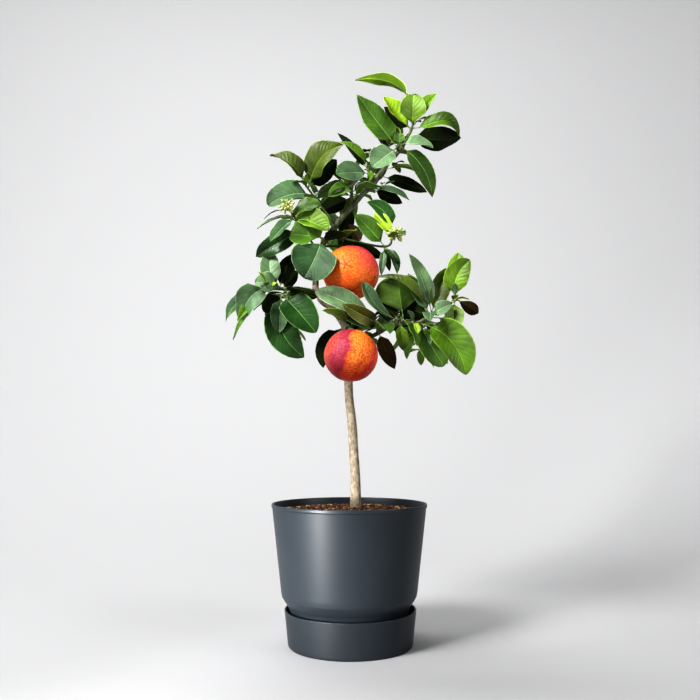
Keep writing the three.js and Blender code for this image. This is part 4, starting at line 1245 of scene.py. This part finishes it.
def make_buds(grown, materials):
    """Clusters of flower buds round the ends of three stems, each on its own short stalk."""
    piece = Piece()
    for name, (count, longest, spread, plump, shift) in BUD_CLUSTERS.items():
        random = seeded(MASSES[name]["seed"])
        root = grown[name]["points"][-1]
        end = root + shift
        bend = (root + end) / 2 + [0, 0, CLUSTER_STALK_BEND]
        add_tube(piece, [root, bend, end], CLUSTER_STALK_RADII, BUD_STALK_SIDES, 1)
        for i in range(count):
            height = 1 - CLUSTER_SPAN * i / count
            flat = math.sqrt(1 - height * height)
            turn = i * GOLDEN_ANGLE
            ahead = unit(np.array([flat * math.cos(turn), flat * math.sin(turn), height]))
            foot = end + ahead * spread * between(random, *BUD_FEET)
            length = longest * between(random, *BUD_LENGTHS)
            stalk = [end, (end + foot) / 2, foot]
            add_tube(piece, stalk, BUD_STALK_RADII, BUD_STALK_SIDES, 1)
            add_bud(piece, foot, ahead, length, length * (plump + BUD_PLUMPER * random()))
    nodes = ["foliage_" + name for name in BUD_CLUSTERS]
    piece.build("flower_buds", materials, nodes)


def make_leaves(grown, materials):
    tint_order = list(TINTS)
    for piece_name, masses in LEAF_PIECES.items():
        piece = Piece()
        for name in masses:
            leaves = list(grown[name]["leaves"])
            for twiglet in grown[name]["twiglets"]:
                leaves += twiglet["leaves"]
            for i, leaf in enumerate(leaves):
                finish = 4 * tint_order.index(leaf["tint"])
                add_leaf(piece, leaf, finish, MASSES[name]["seed"] * LEAF_SEEDS + i)
        piece.build(piece_name, materials, ["foliage_" + name for name in masses])


def new_material(name, colour, roughness, specular):
    """A material, its node tree and its shader."""
    material = bpy.data.materials.new(name)
    material.use_nodes = True
    shader = material.node_tree.nodes["Principled BSDF"]
    shader.inputs["Base Color"].default_value = (*colour, 1)
    shader.inputs["Roughness"].default_value = roughness
    shader.inputs["Specular IOR Level"].default_value = specular
    return material, material.node_tree, shader


def add_node(tree, kind, inputs, **settings):
    """A node whose inputs are set, or linked where the value is another node's output."""
    node = tree.nodes.new("ShaderNode" + kind)
    for name, value in settings.items():
        setattr(node, name, value)
    for name, value in inputs.items():
        if isinstance(value, bpy.types.NodeSocket):
            tree.links.new(value, node.inputs[name])
        else:
            node.inputs[name].default_value = value
    return node


def object_places(tree):
    return add_node(tree, "TexCoord", {}).outputs["Object"]


def object_noise(tree, scale, detail, stretch=(1, 1, 1)):
    """Noise in the object's own coordinates."""
    mapping = add_node(tree, "Mapping", {"Vector": object_places(tree), "Scale": stretch})
    inputs = {"Vector": mapping.outputs["Vector"], "Scale": scale, "Detail": detail}
    return add_node(tree, "TexNoise", inputs).outputs["Fac"]


def cell_distance(tree, scale, feature):
    inputs = {"Vector": object_places(tree), "Scale": scale}
    return add_node(tree, "TexVoronoi", inputs, feature=feature).outputs["Distance"]


def ramp(tree, source, positions, colours):
    """The colour for a value, from colours at rising positions."""
    node = add_node(tree, "ValToRGB", {"Fac": source})
    elements = node.color_ramp.elements
    while len(elements) < len(positions):
        elements.new(0.5)
    for element, position, colour in zip(elements, positions, colours):
        element.position = position
        element.color = (*colour, 1)
    return node.outputs["Color"]


def tint_shader(tree, shader, colour):
    tree.links.new(colour, shader.inputs["Base Color"])


def add_bump(tree, shader, height, strength, distance):
    inputs = {"Height": height, "Strength": strength, "Distance": distance}
    bump = add_node(tree, "Bump", inputs)
    tree.links.new(bump.outputs["Normal"], shader.inputs["Normal"])


def math_node(tree, operation, *values):
    """One step of arithmetic between sockets and numbers."""
    node = add_node(tree, "Math", dict(enumerate(values)), operation=operation)
    return node.outputs["Value"]


def vector_node(tree, operation, *values, output="Vector"):
    """One step of arithmetic between vectors."""
    node = add_node(tree, "VectorMath", dict(enumerate(values)), operation=operation)
    return node.outputs[output]


def multiplied(tree, under, over, factor=1.0):
    """One colour times another, by a share."""
    inputs = {"Factor": factor, "A": under, "B": over}
    node = add_node(tree, "Mix", inputs, data_type="RGBA", blend_type="MULTIPLY")
    return node.outputs["Result"]


def shade(colour, factor):
    return tuple(min(1, c * factor) for c in colour)


def shades(colour, factors):
    return [shade(colour, factor) for factor in factors]


def leaf_material(name, colour, roughness, specular):
    """Waxy blade: soft variation of the tint and a fine net of veinlets."""
    material, tree, shader = new_material(name, colour, roughness, specular)
    cloud = object_noise(tree, scale=26, detail=4)
    tint_shader(tree, shader, ramp(tree, cloud, GRAIN_SPAN, shades(colour, LEAF_SHADES)))
    net = cell_distance(tree, scale=420, feature="DISTANCE_TO_EDGE")
    add_bump(tree, shader, net, strength=0.35, distance=0.0006)
    return material


def leaf_materials():
    """Four materials for each tint, in the order that the blade's finishes count them."""
    materials = []
    for name, (upper, under, rib) in TINTS.items():
        shine = SHINE.get(name, PLAIN_SHINE)
        roughness = GLOSSY if name == "gloss" else WAXY
        vein = shade(upper, VEIN_SHADE)
        materials += [
            leaf_material("leaf_" + name, upper, roughness, shine),
            leaf_material("leaf_under_" + name, under, UNDER_ROUGHNESS, shine * UNDER_SHINE),
            leaf_material("leaf_rib_" + name, rib, RIB_ROUGHNESS, shine),
            leaf_material("leaf_vein_" + name, vein, RIB_ROUGHNESS, shine),
        ]
    return materials


def grained(name):
    """A plain material with a grain of two colours, which also stands out a little."""
    dark, light, roughness, scale, *stretch = GRAINED[name]
    material, tree, shader = new_material(name, light, roughness, specular=0.35)
    grain = object_noise(tree, scale, GRAIN_DETAIL, *stretch)
    tint_shader(tree, shader, ramp(tree, grain, GRAIN_SPAN, (dark, light)))
    add_bump(tree, shader, grain, strength=0.6, distance=0.0004)
    return material


def plastic_material(name, colour):
    """Matte plastic with a faint grain and slight wear."""
    material, tree, shader = new_material(name, colour, roughness=0.42, specular=0.35)
    grain = object_noise(tree, scale=900, detail=2)
    add_bump(tree, shader, grain, strength=0.12, distance=0.0003)
    wear = object_noise(tree, scale=9, detail=4)
    tint_shader(tree, shader, ramp(tree, wear, WEAR_SPAN, shades(colour, WEAR_SHADES)))
    return material


def blush(tree, places, patches, look, radius):
    """The peel's colours, which spread along the blush's way with a wandering edge."""
    wander = radius * BLUSH_WANDER
    along = vector_node(tree, "DOT_PRODUCT", places, look["way"], output="Value")
    along = math_node(tree, "ADD", along, math_node(tree, "MULTIPLY", patches, wander))
    spread = add_node(tree, "MapRange", {
        "Value": along,
        "From Min": wander / 2 - radius * look["sharpness"],
        "From Max": wander / 2 + radius * look["sharpness"],
    })
    return ramp(tree, spread.outputs["Result"], *zip(*look["colours"]))


def crack_lines(tree, places, crack_place, radius):
    """A star of dark cracks that runs out from one place on the peel and fades with distance."""
    away = vector_node(tree, "SUBTRACT", places, [c * radius for c in crack_place])
    parts = add_node(tree, "SeparateXYZ", {"Vector": away})
    turn = math_node(tree, "ARCTAN2", parts.outputs["Z"], parts.outputs["X"])
    stray = object_noise(tree, scale=90, detail=3)
    stray = math_node(tree, "MULTIPLY", stray, CRACK_STRAY)
    turn = math_node(tree, "ADD", math_node(tree, "MULTIPLY", turn, CRACKS / 2), stray)
    beside = math_node(tree, "ABSOLUTE", math_node(tree, "SINE", turn))
    distance = vector_node(tree, "LENGTH", away, output="Value")
    beside = math_node(tree, "MULTIPLY", beside, distance)
    line = ramp(tree, beside, CRACK_WIDTHS, (CRACK_COLOUR, WHITE))
    fade = ramp(tree, distance, CRACK_LENGTHS, (WHITE, BLACK))
    inputs = {"Factor": fade, "A": (1, 1, 1, 1), "B": line}
    return add_node(tree, "Mix", inputs, data_type="RGBA").outputs["Result"]


def peel_material(name, look, centre, radius):
    """Orange peel: pores, mottling, a blush that spreads round the fruit, a few cracks, and
    painted shade that darkens its foot.
    """
    radius *= MM
    flesh = look["colours"][0][1]
    material, tree, shader = new_material(name, flesh, roughness=0.5, specular=0.3)
    places = vector_node(tree, "SUBTRACT", object_places(tree), [c * MM for c in centre])
    patches = object_noise(tree, scale=42, detail=7)
    colour = blush(tree, places, patches, look, radius)
    mottling = object_noise(tree, scale=330, detail=8)
    mottle = ramp(tree, mottling, MOTTLE_SPAN, (WHITE, look["speckle"]))
    colour = multiplied(tree, colour, mottle, factor=0.9)
    pale = object_noise(tree, scale=480, detail=4)
    colour = multiplied(tree, colour, ramp(tree, pale, DUST_SPAN, (DUST, WHITE)))
    # Painted shade: the peel darkens towards the fruit's foot.
    height = vector_node(tree, "DOT_PRODUCT", places, (0, 0, 1), output="Value")
    height = math_node(tree, "ADD", height, math_node(tree, "MULTIPLY", patches, radius))
    height = math_node(tree, "ADD", height, radius)
    colour = multiplied(tree, colour, ramp(tree, height, FOOT_SHADE_SPAN, (look["foot"], WHITE)))
    if look["cracks"]:
        colour = multiplied(tree, colour, crack_lines(tree, places, look["cracks"], radius))
    tint_shader(tree, shader, colour)
    pores = cell_distance(tree, scale=520, feature="F1")
    add_bump(tree, shader, pores, strength=0.4, distance=0.0008)
    return material


def make_stage():
    profile = [(FLOOR_CENTRE, 0.0), (FLOOR_RADIUS, 0.0)]
    bend = WALL_RADIUS - FLOOR_RADIUS
    for i in range(1, WALL_STEPS + 1):
        turn = math.pi / 2 * i / WALL_STEPS
        profile.append((FLOOR_RADIUS + bend * math.sin(turn), bend * (1 - math.cos(turn))))
    profile.append((WALL_RADIUS, WALL_HEIGHT))
    around = circle([1, 0, 0], [0, 1, 0], STAGE_SIDES)
    points = np.concatenate([around * r + [0, 0, z] for r, z in profile])
    faces = ring_faces(len(profile), STAGE_SIDES) + [list(range(STAGE_SIDES))]
    material, _, _ = new_material("floor_paper", PAPER, roughness=0.95, specular=0.1)
    floor = new_object("floor", points, faces, [material])


def make_lights():
    for name, (place, aim, size, power, spread) in LIGHTS.items():
        data = bpy.data.lights.new(name, "AREA")
        data.shape = "DISK"
        data.size = size
        data.energy = power
        data.spread = math.radians(spread)
        light = bpy.data.objects.new(name, data)
        light.location = place
        light.rotation_euler = (Vector(aim) - Vector(place)).to_track_quat("-Z", "Y").to_euler()
        bpy.context.scene.collection.objects.link(light)
    world = bpy.data.worlds.new("studio")
    world.use_nodes = True
    world.node_tree.nodes["Background"].inputs["Color"].default_value = SKY
    world.node_tree.nodes["Background"].inputs["Strength"].default_value = SKY_STRENGTH
    bpy.context.scene.world = world


def make_camera():
    data = bpy.data.cameras.new("camera")
    data.lens = LENS
    data.sensor_width = SENSOR
    camera = bpy.data.objects.new("camera", data)
    camera.location = CAMERA_PLACE
    camera.rotation_euler = (math.radians(90 + CAMERA_RISE), 0, 0)
    bpy.context.scene.collection.objects.link(camera)
    bpy.context.scene.camera = camera


def make_tree():
    grown = grow_leaves()
    make_leaves(grown, leaf_materials())
    make_twigs(grown, [grained("twig_green"), grained("petiole_green")])
    make_limbs([grained("bark_old"), grained("bark_scar"), grained("bark_young")])
    make_buds(grown, [grained("bud_petal"), grained("bud_cup")])
    calyx = grained("calyx")
    for name in FRUITS:
        make_fruit(name, grown, calyx)


make_stage()
make_lights()
make_camera()
make_tree()
make_pot()
make_saucer()
make_soil()
make_chips()
bpy.context.scene.view_settings.view_transform = "Standard"
bpy.context.scene.view_settings.look = "High Contrast"
